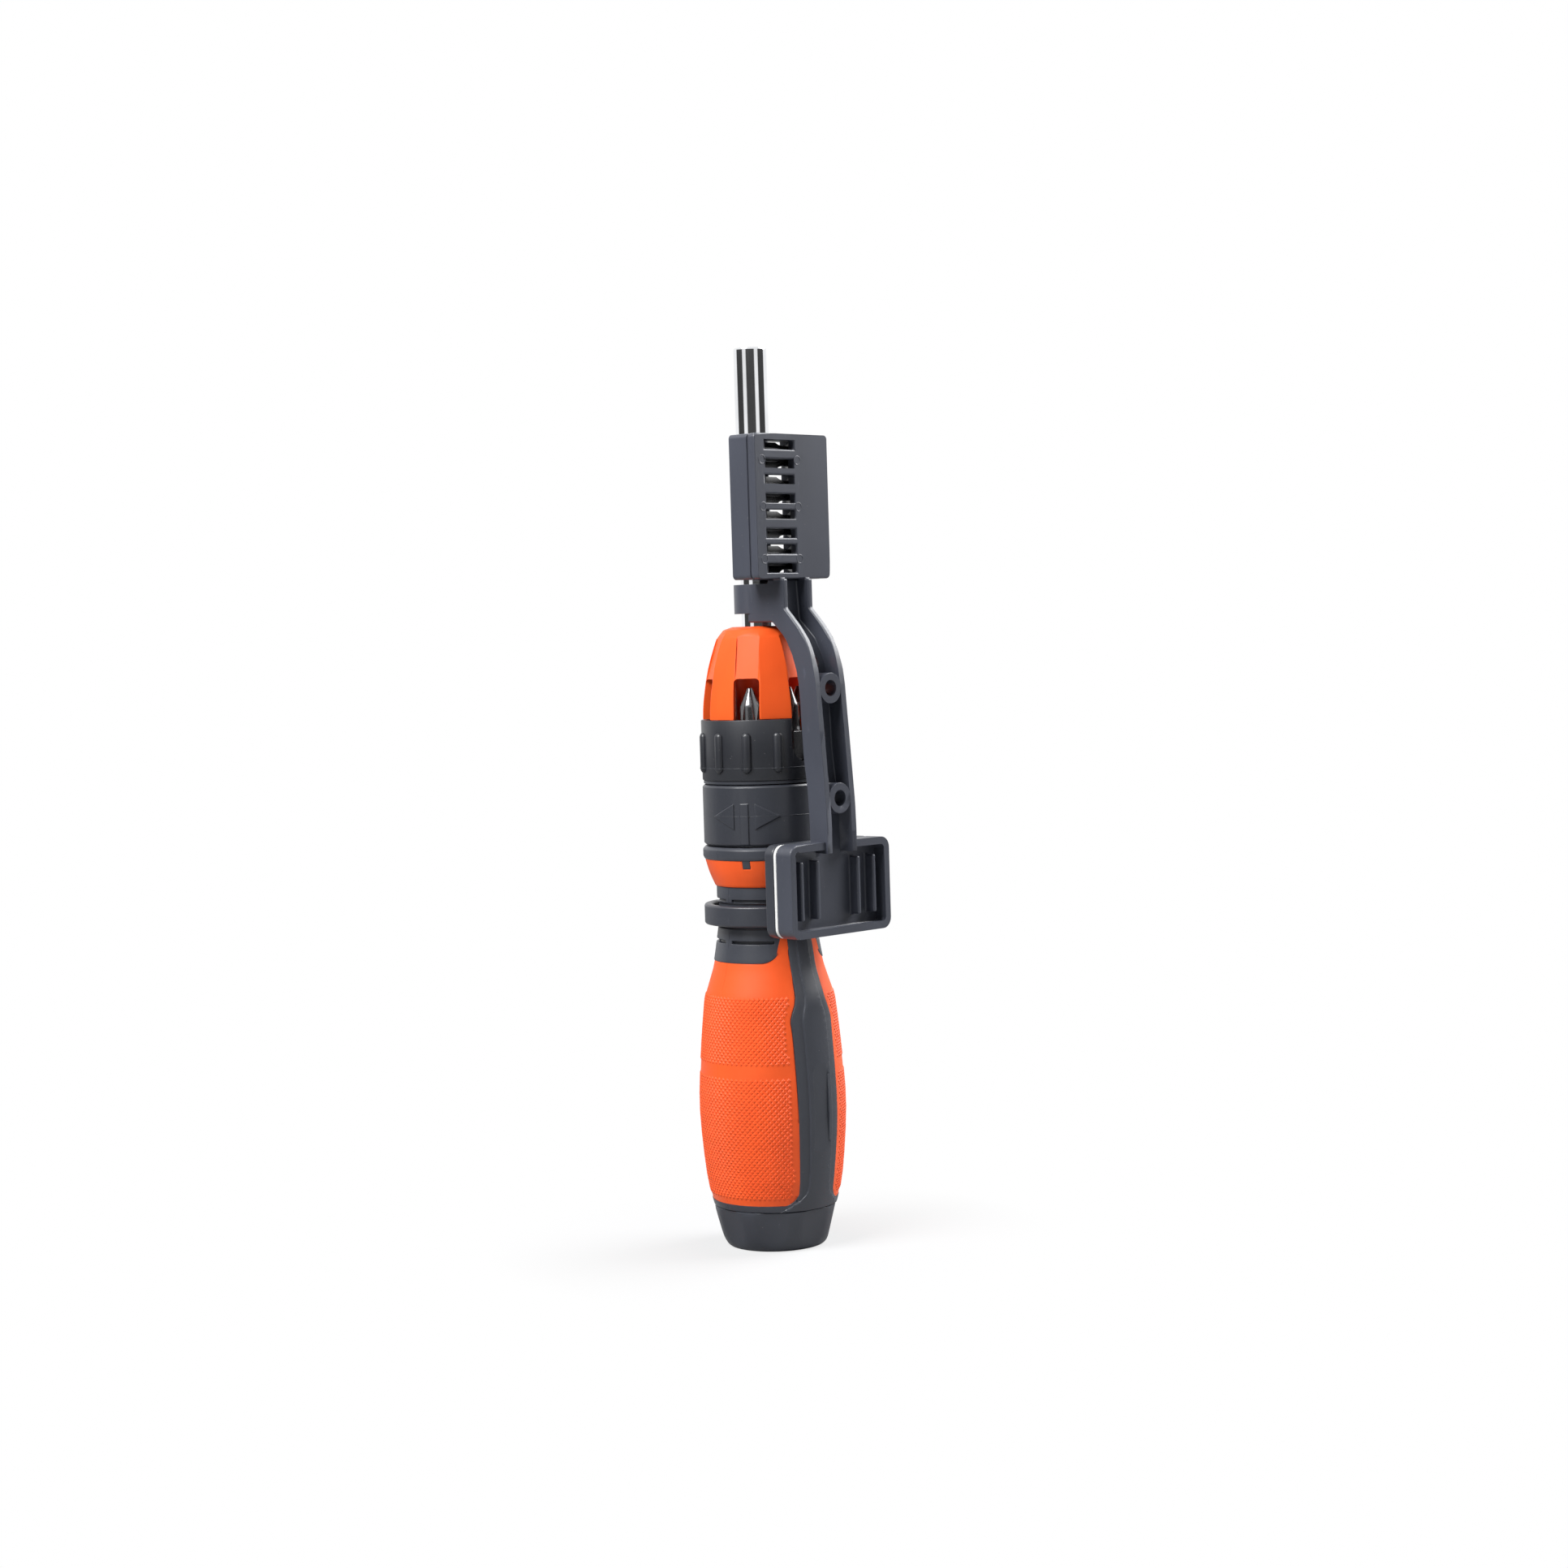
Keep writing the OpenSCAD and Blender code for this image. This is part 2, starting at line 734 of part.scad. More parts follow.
module bit_magnet() {
    color("#6f7276")
        translate([0, 0, shaft_top - socket_depth - magnet_h])
            cylinder(r = magnet_r, h = magnet_h);
}
module retaining_ring() {
    color("#b9bcc0")
        translate([0, 0, z_clip])
            rotate(clip_gap_bearing / 2)
                rotate_extrude(angle = 360 - clip_gap_bearing)
                    translate([shaft_d / 2 - groove_depth, 0])
                        square([clip_out_r - shaft_d / 2 + groove_depth, clip_t]);
}

// Ratchet gear with straight notches, so that it drives either way
notch_root_w = 0.9;
notch_tip_w = 1.6;
washer_r = 7.4;
function polar(r, a) = r * [cos(a), sin(a)];
module ratchet_gear() {
    pitch = 360 / gear_teeth;
    root_a = asin(notch_root_w / 2 / gear_root_r);
    tip_a = asin(notch_tip_w / 2 / gear_tip_r);
    color("#8a8d90")
        translate([0, 0, z_gear])
            linear_extrude(gear_h)
                difference() {
                    polygon([for (k = [0 : gear_teeth - 1])
                        each [
                            polar(gear_root_r, k * pitch - root_a), polar(gear_root_r, k * pitch + root_a),
                            polar(gear_tip_r, k * pitch + tip_a), polar(gear_tip_r, (k + 1) * pitch - tip_a)
                        ]]);
                    circle(d = shaft_d);
                }
}
module thrust_washer() {
    color("#b9bcc0")
        translate([0, 0, z_washer + fit_gap])
            difference() {
                cylinder(r = washer_r, h = washer_t - fit_gap);
                translate([0, 0, -overrun]) cylinder(d = shaft_d, h = washer_t + 2 * overrun);
            }
}

// Bit carrier: a floor under the bits, a hub on the shaft and fins between the bits
hub_r = 7;
carrier_r = ring_r - run_gap;
fin_t = 2;
fin_gap = 0.2;
cavity_room = 0.6;
module bit_carrier() {
    fin_root = (shaft_d / 2 + hub_r) / 2;
    z_hub = z_nose + window_h + cavity_room;
    color("#2b2e33") {
        rotate_extrude()
            polygon([
                [shaft_d / 2, z_carrier], [carrier_r, z_carrier], [carrier_r, z_bits],
                [hub_r, z_bits], [hub_r, z_hub], [shaft_d / 2, z_hub]
            ]);
        for (k = [0 : stored_bits - 1])
            rotate((k + 0.5) * 360 / stored_bits)
                translate([fin_root, -fin_t / 2, z_carrier + carrier_floor_t / 2])
                    cube([ring_r - ring_wall - fin_gap - fin_root, fin_t, z_ring_top - z_bits]);
    }
}

// Bit ring: turns on the carrier until its slot bares the bit that is wanted
rib_foot = 2;
module bit_ring() {
    bore_r = ring_r - ring_wall;
    rib_low = z_ring + rib_foot + rib_w / 2;
    color("#2f3237")
        difference() {
            union() {
                translate([0, 0, z_ring]) cylinder(r = ring_r, h = ring_h);
                for (k = [1 : rib_places - 1])
                    rotate(k * 360 / rib_places)
                        intersection() {
                            swept_x(ring_r - ring_wall / 2, ring_r + 2 * rib_lift)
                                bar([0, rib_low], [0, rib_low + rib_h - rib_w], rib_w);
                            translate([0, 0, z_ring]) cylinder(r = ring_r + rib_lift, h = ring_h);
                        }
            }
            translate([0, 0, z_ring - overrun]) cylinder(r = bore_r, h = ring_h + 2 * overrun);
            swept_x(0, ring_r + overrun)
                bar([0, z_ring_top + slot_w], [0, z_ring_top - slot_depth + slot_w / 2], slot_w);
        }
}

// Nose: a twelve-sided dome with a window over each bit and a shallow panel above each window
nose_sides = 12;
nose_flat_share = 0.985;
nose_shares = [[0, 1], [0.2, 0.93], [0.55, 0.58], [0.87, 0]];
nose_dome_share = 0.55;
cavity_draft = 1.4;
window_corner = 1.2;
panel_sink = 0.35;
panel_share = 0.88;
z_shoulder = z_nose + nose_h * nose_shares[len(nose_shares) - 1][0];
function nose_flank() = smooth([for (s = nose_shares)
    [nose_shoulder_r + (nose_r - nose_shoulder_r) * s[1], z_nose + nose_h * s[0]]], 3);
module nose() {
    flat = nose_flat_share / cos(180 / nose_sides);
    outline = concat(
        [[0, z_nose]], nose_flank(),
        [[nose_top_r + (nose_shoulder_r - nose_top_r) * nose_dome_share, (z_shoulder + z_nose_top) / 2
            + (z_nose_top - z_shoulder) / 4]],
        [[nose_top_r, z_nose_top], [0, z_nose_top]]
    );
    z_window = z_nose + window_h;
    face_r = nose_flat_share * (nose_shoulder_r + (nose_r - nose_shoulder_r) * nose_shares[2][1]);
    top_r = nose_flat_share * nose_shoulder_r;
    z_face = z_nose + nose_h * nose_shares[2][0];
    lean = atan2(face_r - top_r, z_shoulder - z_face);
    color("#ff5a26")
        difference() {
            rotate(180 / nose_sides)
                rotate_extrude($fn = nose_sides)
                    polygon([for (p = outline) [p[0] * flat, p[1]]]);
            translate([0, 0, z_nose - overrun])
                cylinder(
                    r1 = nose_r - nose_wall, r2 = nose_r - nose_wall - cavity_draft,
                    h = window_h + cavity_room + overrun
                );
            cylinder(d = shaft_d, h = z_nose_top + overrun);
            for (k = [0 : stored_bits - 1])
                rotate(k * 360 / stored_bits) {
                    swept_x(hub_r, nose_r + 2 * overrun)
                        translate([0, z_nose - window_h])
                            round_plate(window_w, 2 * window_h, window_corner);
                    translate([face_r - panel_sink, 0, z_face])
                        rotate([0, -lean, 0])
                            translate([0, -window_w * panel_share / 2, -nose_h / 2])
                                cube([nose_h, window_w * panel_share, nose_h]);
                }
        }
}

// Hex bits with a cross, flat or square tip, standing on their hex ends
hex_share = 0.52;
tip_share = 0.208;
hex_len = bit_len * hex_share;
tip_h = bit_len * tip_share;
bit_neck_h = 1.6;
bit_round_r = 2.8;
tip_end_r = 0.7;
flute_share = 0.42;
flute_lean = 14;
blade_t = 0.9;
blade_lean = 9;
square_w = 3;
bit_kinds = ["cross", "cross", "flat", "square", "flat", "cross"];
module driver_bit(kind) {
    shank_h = bit_len - tip_h;
    difference() {
        union() {
            rotate(30) cylinder(d = bit_flats / cos(30), h = hex_len, $fn = 6);
            translate([0, 0, hex_len]) cylinder(d1 = bit_flats, r2 = bit_round_r, h = bit_neck_h);
            cylinder(r = bit_round_r, h = kind == "flat" ? bit_len : shank_h);
            if (kind == "cross")
                translate([0, 0, shank_h]) cylinder(r1 = bit_round_r, r2 = tip_end_r, h = tip_h);
            if (kind == "square")
                translate([0, 0, shank_h - overrun])
                    rotate(45) cylinder(d = square_w / cos(45), h = tip_h + overrun, $fn = 4);
        }
        if (kind == "cross")
            for (k = [0 : 3])
                rotate(k * 90 + 45)
                    translate([tip_end_r * flute_share, 0, bit_len])
                        rotate([0, -flute_lean, 0])
                            rotate(-45)
                                translate([0, 0, -2 * tip_h])
                                    cube([bit_len, bit_len, 2 * tip_h + overrun]);
        if (kind == "flat")
            for (side = [0, 1])
                mirror([side, 0, 0])
                    translate([blade_t / 2, -bit_len / 2, bit_len])
                        rotate([0, -blade_lean, 0])
                            translate([0, 0, -2 * tip_h])
                                cube([bit_len, bit_len, 2 * tip_h + overrun]);
    }
}
module stored_bit(k) {
    color("#9a9da1")
        rotate((k - 1) * 360 / stored_bits)
            translate([bit_circle_r, 0, z_bits])
                driver_bit(bit_kinds[k - 1]);
}
module stored_bit_1() {
    stored_bit(1);
}
module stored_bit_2() {
    stored_bit(2);
}
module stored_bit_3() {
    stored_bit(3);
}
module stored_bit_4() {
    stored_bit(4);
}
module stored_bit_5() {
    stored_bit(5);
}
module stored_bit_6() {
    stored_bit(6);
}

// Holder: distances from the shaft's axis, and heights of the bits in the tray
tray_gap = 0.4;
box_end = 0.8;
box_corner = 1.2;
tray_in = shaft_d / 2 + tray_gap;
back_in = tray_in + tray_depth;
back_out = back_in + back_t;
tray_count = 4;
box_w = bit_len + 2 * (tray_wall + slide_gap);
box_h = tray_count * tray_pitch + 2 * box_end;
bit_axis_x = tray_in + bit_flats / 2 + fit_gap;
function tray_bit_z(k) = box_z + box_h / 2 + (k - (tray_count + 1) / 2) * tray_pitch;

// Channel arm: front and back edges, as shares of its height and of its front edge's run
arm_top_front = 15.6;
arm_rim_lift = 0.7;
arm_foot_front = plate_front + arm_rim_lift;
arm_depth = 6.2;
arm_run = arm_foot_front - arm_top_front;
z_arm = plate_z + plate_h;
arm_h = box_z - z_arm;
rim_shares = [[0, 1], [0.1, 1], [0.316, 0.919], [0.474, 0.852], [0.648, 0.763], [0.774, 0.526], [0.887, 0]];
floor_shares = [[0, 0.533], [0.155, 0.511], [0.343, 0.393], [0.61, 0.311], [0.749, 0.074], [0.844, -0.4]];
function arm_edge(shares, lift) = smooth([for (s = shares)
    [arm_top_front + arm_run * s[1] + lift, z_arm + arm_h * s[0]]], 3);
function backwards(p) = [for (i = [len(p) - 1 : -1 : 0]) p[i]];

// Shaft clip at the top of the arm
sleeve_r = 6.4;
sleeve_foot = 9;
sleeve_head = 1.1;
sleeve_mouth = 7;
cheek_step = 5.7;
cheek_gap = 1;
cheek_foot = box_rise - cheek_gap;
cheek_near = 1.9;
cheek_far = 7.4;

// Ladder of windows in the back plate, beside the tips of the bits
ladder_share = 0.404;
ladder_place_share = -0.1625;
ladder_w = box_w * ladder_share;
ladder_y = box_w * ladder_place_share;
wide_bar = 2.6;
narrow_bar = 1.75;

// Lower plate with its recess, ribs and vents
plate_corner = 3;
plate_rim = 2;
plate_floor = 1.8;
recess_corner = 1.2;
plate_rib_w = 1.3;
plate_rib_h = 15.7;
plate_rib_sink = 0.8;
plate_rib_y = [7.9, 14.1];
boss_len = 5.6;
vent_r = 1.9;
vent_shares = [0.68, 0.41];
plate_back = plate_front - plate_t;
pad_back = plate_back - pad_t;
clip_back = pad_back - clip_plate_t;

// A box from one corner to the opposite one
module block(low, high) {
    translate(low) cube(high - low);
}
module arm_blank() {
    z_root = z_arm - plate_rim - overrun;
    swept_y(-arm_w / 2, arm_w / 2)
        polygon(concat(
            [[plate_back + plate_floor, z_root], [arm_foot_front, z_root]],
            arm_edge(rim_shares, 0),
            [[arm_top_front, box_z], [back_out, box_z], [back_out, box_z + overrun]],
            [[back_in, box_z + overrun], [back_in, box_z], [arm_top_front - arm_depth, box_z]],
            backwards(arm_edge(floor_shares, 0))
        ));
}
module arm_channel() {
    channel_w = arm_w - 2 * arm_wall;
    swept_y(-channel_w / 2, channel_w / 2)
        polygon(concat(
            [[plate_back + plate_floor, z_arm - plate_rim - 2 * overrun]],
            [[arm_foot_front + overrun, z_arm - plate_rim - 2 * overrun]],
            arm_edge(rim_shares, overrun),
            [[arm_top_front + overrun, box_z], [arm_top_front - arm_depth + arm_wall, box_z]],
            backwards(arm_edge(floor_shares, arm_wall))
        ));
}
module shaft_clip() {
    foot = box_z - sleeve_foot;
    translate([0, 0, foot]) cylinder(r = sleeve_r, h = sleeve_foot - sleeve_head);
    block([cheek_far, -arm_w / 2, foot], [arm_top_front, arm_w / 2, box_z - sleeve_head]);
    block(
        [cheek_near, -arm_w / 2, box_z - cheek_foot],
        [arm_top_front - overrun, arm_w / 2, box_z - cheek_step]
    );
}
module lower_plate() {
    recess_h = plate_h - 2 * plate_rim;
    swept_x(plate_back, plate_back + plate_floor)
        translate([0, plate_z]) round_plate(plate_w, plate_h, plate_corner);
    swept_x(plate_back, plate_front)
        difference() {
            translate([0, plate_z]) round_plate(plate_w, plate_h, plate_corner);
            translate([0, plate_z + plate_rim])
                round_plate(plate_w - 2 * plate_rim, recess_h, recess_corner);
        }
    for (side = [-1, 1], y = plate_rib_y)
        translate([0, side * y - plate_rib_w / 2, 0])
            block(
                [plate_back + plate_floor / 2, 0, plate_z + (plate_h - plate_rib_h) / 2],
                [plate_front - plate_rib_sink, plate_rib_w, plate_z + (plate_h + plate_rib_h) / 2]
            );
}
module across(x0, x1, z, r) {
    translate([x0, 0, z]) rotate([0, 90, 0]) cylinder(r = r, h = x1 - x0);
}
function rim_x(z) = lookup(z, [for (p = arm_edge(rim_shares, 0)) [p[1], p[0]]]);
screw_heights = [screw_z, screw_z + screw_pitch];
module bracket() {
    color("#3a3d42")
        difference() {
            union() {
                difference() {
                    union() {
                        arm_blank();
                        shaft_clip();
                        lower_plate();
                    }
                    arm_channel();
                }
                swept_x(back_in, back_out)
                    translate([0, box_z]) round_plate(box_w, box_h, box_corner);
                for (z = screw_heights)
                    across(rim_x(z) - boss_len, rim_x(z), z, boss_r);
            }
            translate([0, 0, z_nose_top])
                cylinder(d = shaft_d + 2 * fit_gap, h = box_rise + overrun);
            block(
                [-sleeve_r - overrun, -sleeve_mouth / 2, z_nose_top],
                [0, sleeve_mouth / 2, box_z + overrun]
            );
            for (z = screw_heights)
                across(ring_r, arm_foot_front + overrun, z, screw_r);
            for (s = vent_shares)
                across(ring_r, arm_foot_front + overrun, z_arm + arm_h * s, vent_r);
            for (k = [1 : tray_count], side = [-1, 1])
                translate([0, ladder_y - ladder_w / 2, tray_bit_z(k)])
                    mirror([0, 0, side > 0 ? 0 : 1])
                        block(
                            [back_in - overrun, 0, wide_bar / 2],
                            [back_out + overrun, ladder_w, (tray_pitch - narrow_bar) / 2]
                        );
        }
}

// Bit tray: an open frame whose two webs hold the bits
web_w = 2;
web_shares = [-0.304, 0.232];
snap_share = 0.8;
module bit_tray() {
    color("#34373c")
        difference() {
            swept_x(tray_in, back_in)
                difference() {
                    translate([0, box_z]) round_plate(box_w, box_h, box_corner);
                    difference() {
                        translate([0, box_z + tray_wall])
                            round_plate(box_w - 2 * tray_wall, box_h - 2 * tray_wall, box_corner / 2);
                        for (s = web_shares)
                            translate([box_w * s - web_w / 2, box_z]) square([web_w, box_h]);
                    }
                }
            for (k = [1 : tray_count]) {
                translate([bit_axis_x, -bit_len / 2, tray_bit_z(k)])
                    rotate([-90, 0, 0])
                        rotate(30)
                            cylinder(d = (bit_flats + 2 * fit_gap) / cos(30), h = bit_len, $fn = 6);
                translate([tray_in - overrun, -bit_len / 2, tray_bit_z(k) - bit_flats * snap_share / 2])
                    cube([bit_axis_x - tray_in + overrun, bit_len, bit_flats * snap_share]);
            }
        }
}
tray_kinds = ["flat", "cross", "square", "flat"];
module tray_bit(k) {
    color("#9a9da1")
        translate([bit_axis_x, -bit_len / 2, tray_bit_z(k)])
            rotate([-90, 0, 0])
                driver_bit(tray_kinds[k - 1]);
}
module tray_bit_1() {
    tray_bit(1);
}
module tray_bit_2() {
    tray_bit(2);
}
module tray_bit_3() {
    tray_bit(3);
}
module tray_bit_4() {
    tray_bit(4);
}

// Foam pad that sticks the bracket to the neck clip
pad_inset = 0.1;
module foam_pad() {
    color("#f2f2ef")
        swept_x(pad_back, plate_back)
            translate([0, plate_z + pad_inset])
                round_plate(plate_w - 2 * pad_inset, plate_h - 2 * pad_inset, plate_corner - pad_inset);
}

// Neck clip: a plate with a split ring that closes round the neck
clip_mouth = 5;
clip_web_w = 18;
module neck_clip() {
    color("#33363b")
        difference() {
            union() {
                swept_x(clip_back, pad_back)
                    translate([0, plate_z]) round_plate(plate_w, plate_h, plate_corner);
                translate([0, 0, clip_z]) cylinder(r = clip_r + clip_wall, h = clip_h);
                block(
                    [clip_r / 2, -clip_web_w / 2, clip_z],
                    [(clip_back + pad_back) / 2, clip_web_w / 2, clip_z + clip_h]
                );
            }
            translate([0, 0, clip_z - overrun]) cylinder(r = clip_r, h = clip_h + 2 * overrun);
            block(
                [-clip_r - clip_wall - overrun, -clip_mouth / 2, clip_z - overrun],
                [0, clip_mouth / 2, clip_z + clip_h + overrun]
            );
        }
}

end_cap();
handle_core();
grip_left();
grip_right();
index_band();
ratchet_body();
ratchet_cover();
pawl_pins();
pawl_spring_left();
pawl_spring_right();
detent_spring();
pawl_left();
pawl_right();
selector_collar();
shaft();
bit_magnet();
ratchet_gear();
thrust_washer();
retaining_ring();
bit_carrier();
nose();
stored_bit_1();
stored_bit_2();
stored_bit_3();
stored_bit_4();
stored_bit_5();
stored_bit_6();
bit_ring();
bracket();
bit_tray();
tray_bit_1();
tray_bit_2();
tray_bit_3();
tray_bit_4();
foam_pad();
neck_clip();
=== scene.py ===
"""Looks of a ratcheting screwdriver standing in its wall holder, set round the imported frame."""
import json
from math import cos, exp, log1p, pi, radians, sin, sqrt, tan

import bmesh
import bpy
from bpy.props import FloatProperty, FloatVectorProperty, IntProperty, PointerProperty
from mathutils import Matrix, Vector
from mathutils.bvhtree import BVHTree
from mathutils.kdtree import KDTree


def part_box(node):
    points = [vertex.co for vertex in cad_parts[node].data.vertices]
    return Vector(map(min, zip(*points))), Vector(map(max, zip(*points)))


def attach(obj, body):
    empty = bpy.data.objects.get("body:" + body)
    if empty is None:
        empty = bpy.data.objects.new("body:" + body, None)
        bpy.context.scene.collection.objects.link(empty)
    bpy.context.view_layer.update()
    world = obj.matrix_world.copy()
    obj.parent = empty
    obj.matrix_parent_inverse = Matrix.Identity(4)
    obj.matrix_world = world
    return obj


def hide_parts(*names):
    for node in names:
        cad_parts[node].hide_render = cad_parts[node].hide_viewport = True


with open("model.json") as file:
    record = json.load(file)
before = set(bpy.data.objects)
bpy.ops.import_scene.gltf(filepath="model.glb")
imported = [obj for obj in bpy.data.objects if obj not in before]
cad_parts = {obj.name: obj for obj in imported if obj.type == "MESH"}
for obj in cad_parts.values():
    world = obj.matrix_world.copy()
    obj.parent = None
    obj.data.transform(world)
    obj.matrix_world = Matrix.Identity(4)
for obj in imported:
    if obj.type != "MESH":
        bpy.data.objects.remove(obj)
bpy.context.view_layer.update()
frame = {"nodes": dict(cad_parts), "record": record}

bl_info = {
    "name": "Ratcheting screwdriver looks",
    "version": (1, 0, 0),
    "blender": (4, 5, 0),
    "location": "View3D > Sidebar > Screwdriver",
    "description": "Dresses the packed screwdriver and its wall holder",
    "category": "Object",
}

MM = 0.001
BODIES = frame["record"]["behaviour"]["bodies"]
BODY_OF = {node: body for body, nodes in BODIES.items() for node in nodes}
SLOT_OF = {part["node"]: part["material_slot"] for part in frame["record"]["subparts"]}
# A node whose finish differs from that of its slot.
FINISH_OF = {"bit_carrier": "pockets"}
UP = Vector((0.0, 0.0, 1.0))
WHITE = (1.0, 1.0, 1.0, 1.0)


def number_prop(name, description, default, **kind):
    return FloatProperty(name=name, description=description, default=default, **kind)


def length_prop(name, description, default):
    return number_prop(name, description, default * MM, unit="LENGTH", precision=5, min=0.0)


def angle_prop(name, description, default):
    return number_prop(name, description, radians(default), subtype="ANGLE")


def colour_prop(name, description, default):
    return FloatVectorProperty(
        name=name, description=description, default=default, subtype="COLOR", size=3, min=0.0, max=1.0
    )


class HandleLooks(bpy.types.PropertyGroup):
    """Sizes and colours of the handle."""

    grip_colour: colour_prop("Grip colour", "Colour of the soft grip panels", (1.0, 0.105, 0.009))
    core_colour: colour_prop("Core colour", "Colour of the core and end cap", (0.043, 0.047, 0.060))
    edge_radius: length_prop("Edge radius", "Round on its edges", 0.22)
    seam_radius: length_prop("Panel edge radius", "Round on the edges of a grip panel", 0.45)
    knurl_lift: length_prop("Knurl height", "Height of a stud", 0.2)
    knurl_width: length_prop("Stud width", "Width from corner to corner", 1.34)
    knurl_row: length_prop("Row spacing", "Distance between rows of studs", 0.75)
    knurl_columns: IntProperty(name="Stud columns", description="Columns of studs round it", default=84)
    knurl_margin: length_prop("Knurl margin", "Smooth border of a grip panel", 1.9)
    lower_band_from: length_prop("Lower band from", "Height where the lower studs start", 15.5)
    lower_band_to: length_prop("Lower band to", "Height where the lower studs end", 48.3)
    upper_band_from: length_prop("Upper band from", "Height where the upper studs start", 52.0)
    upper_band_to: length_prop("Upper band to", "Height where the upper studs end", 70.0)
    mould_line: length_prop("Mould line", "Radius of the lines of the mould", 0.09)
    bearing: angle_prop("Spine bearing", "Turn of the spines from the holder", -5.0)


class HeadLooks(bpy.types.PropertyGroup):
    """Sizes and colours of the selector, the bit ring and the nose."""

    nose_colour: colour_prop("Nose colour", "Colour of the nose and index band", (1.0, 0.118, 0.020))
    collar_colour: colour_prop("Collar colour", "Colour of the selector", (0.032, 0.035, 0.045))
    ring_colour: colour_prop("Ring colour", "Colour of the bit ring", (0.017, 0.0185, 0.024))
    edge_radius: length_prop("Edge radius", "Round on its edges", 0.16)
    rib_count: IntProperty(name="Rib places", description="Places for ribs round it", default=12)
    rib_width: length_prop("Rib width", "Width of a rib", 2.7)
    rib_height: length_prop("Rib height", "Height of a rib", 11.0)
    rib_lift: length_prop("Rib lift", "How far a rib stands out", 1.0)
    rib_foot: length_prop("Rib foot", "Height of the ribs above the ring's foot", 2.0)
    ring_radius: length_prop("Ring radius", "Outer radius without the ribs", 16.5)
    ring_wall: length_prop("Ring wall", "Wall of the bit ring", 1.4)
    slot_width: length_prop("Slot width", "Width of the ring's slot", 8.7)
    slot_depth: length_prop("Slot depth", "Depth of the slot from the ring's top", 11.6)
    pocket_rise: length_prop("Pocket rise", "Start of the orange above the ring's foot", 4.0)


class MetalLooks(bpy.types.PropertyGroup):
    """Colours of the metal pieces."""

    chrome_colour: colour_prop("Chrome colour", "Tint of the plated shaft", (0.86, 0.87, 0.89))
    bit_colour: colour_prop("Bit colour", "Tint of the blackened bits", (0.14, 0.14, 0.145))
    works_colour: colour_prop("Works colour", "Tint of the ratchet's steel", (0.42, 0.42, 0.44))
    bright_colour: colour_prop("Bright colour", "Tint of the pins and springs", (0.62, 0.62, 0.64))
    bit_edge: length_prop("Bit edge", "Round on the edges of the bits", 0.12)


class HolderLooks(bpy.types.PropertyGroup):
    """Sizes and colours of the wall holder."""

    plastic_colour: colour_prop("Holder colour", "Colour of bracket and tray", (0.055, 0.060, 0.079))
    # The clip's colour is a darker copy of the holder plastic: painted shade for the shadow the clip
    # stands in.
    clip_painted_shade_colour: colour_prop("Clip colour in painted shade", "Colour of the neck clip, darkened as painted shade", (0.037, 0.040, 0.051))
    foam_colour: colour_prop("Foam colour", "Colour of the foam pad", (0.86, 0.86, 0.84))
    edge_radius: length_prop("Edge radius", "Round on its edges", 0.5)
    mark_radius: length_prop("Ejector mark", "Radius of the ring marks on the back plate", 1.15)
    mark_bead: length_prop("Mark bead", "Radius of the bead that makes a mark", 0.15)


class StageLooks(bpy.types.PropertyGroup):
    """Camera and light of the studio."""

    lens: number_prop("Lens", "Focal length of the camera", 63.6, unit="CAMERA")
    position: FloatVectorProperty(
        name="Camera position", description="Place of the camera", subtype="TRANSLATION",
        unit="LENGTH", default=(0.5340, -0.5390, 0.1671),
    )
    yaw: angle_prop("Yaw", "Bearing of the camera", 44.3)
    pitch: angle_prop("Pitch", "Tilt downwards", 3.053)
    roll: angle_prop("Roll", "Roll of the camera", -1.75)
    sky: number_prop("Sky light", "Strength of the even light from all round", 0.1)
    tent: number_prop("Tent", "Brightness of the light tent in reflections", 1.0)
    key: number_prop("Key light", "Power of the main soft box", 12.2, unit="POWER")
    fill: number_prop("Fill light", "Power of the fill soft box", 15.0, unit="POWER")


# Node helpers


def tint(colour, share):
    return tuple(min(1.0, c * share) for c in colour[:3]) + (1.0,)


class Net:
    """Adds nodes to a tree."""

    def __init__(self, tree):
        self.tree = tree

    def plug(self, node, values):
        """Sets or links each named input of a node."""
        for key, value in values.items():
            if isinstance(value, bpy.types.NodeSocket):
                self.tree.links.new(value, node.inputs[key])
            else:
                node.inputs[key].default_value = value

    def put(self, kind, values=None, **settings):
        """Adds a node, with its settings and its inputs."""
        node = self.tree.nodes.new(kind)
        for key, value in settings.items():
            setattr(node, key, value)
        self.plug(node, values or {})
        return node

    def wire(self, kind, values=None, **settings):
        """Adds a node and gives its first output."""
        return self.put(kind, values, **settings).outputs[0]

    def spread(self, value, low, high, start=0.3, end=0.7):
        """Maps a value from one range, by default that of a noise, to another."""
        return self.wire("ShaderNodeMapRange", {
            "Value": value, "From Min": start, "From Max": end, "To Min": low, "To Max": high,
        })

    def mix(self, factor, first, second):
        """Mixes two colours."""
        values = {0: factor, 6: first, 7: second}
        return self.put("ShaderNodeMix", values, data_type="RGBA").outputs[2]


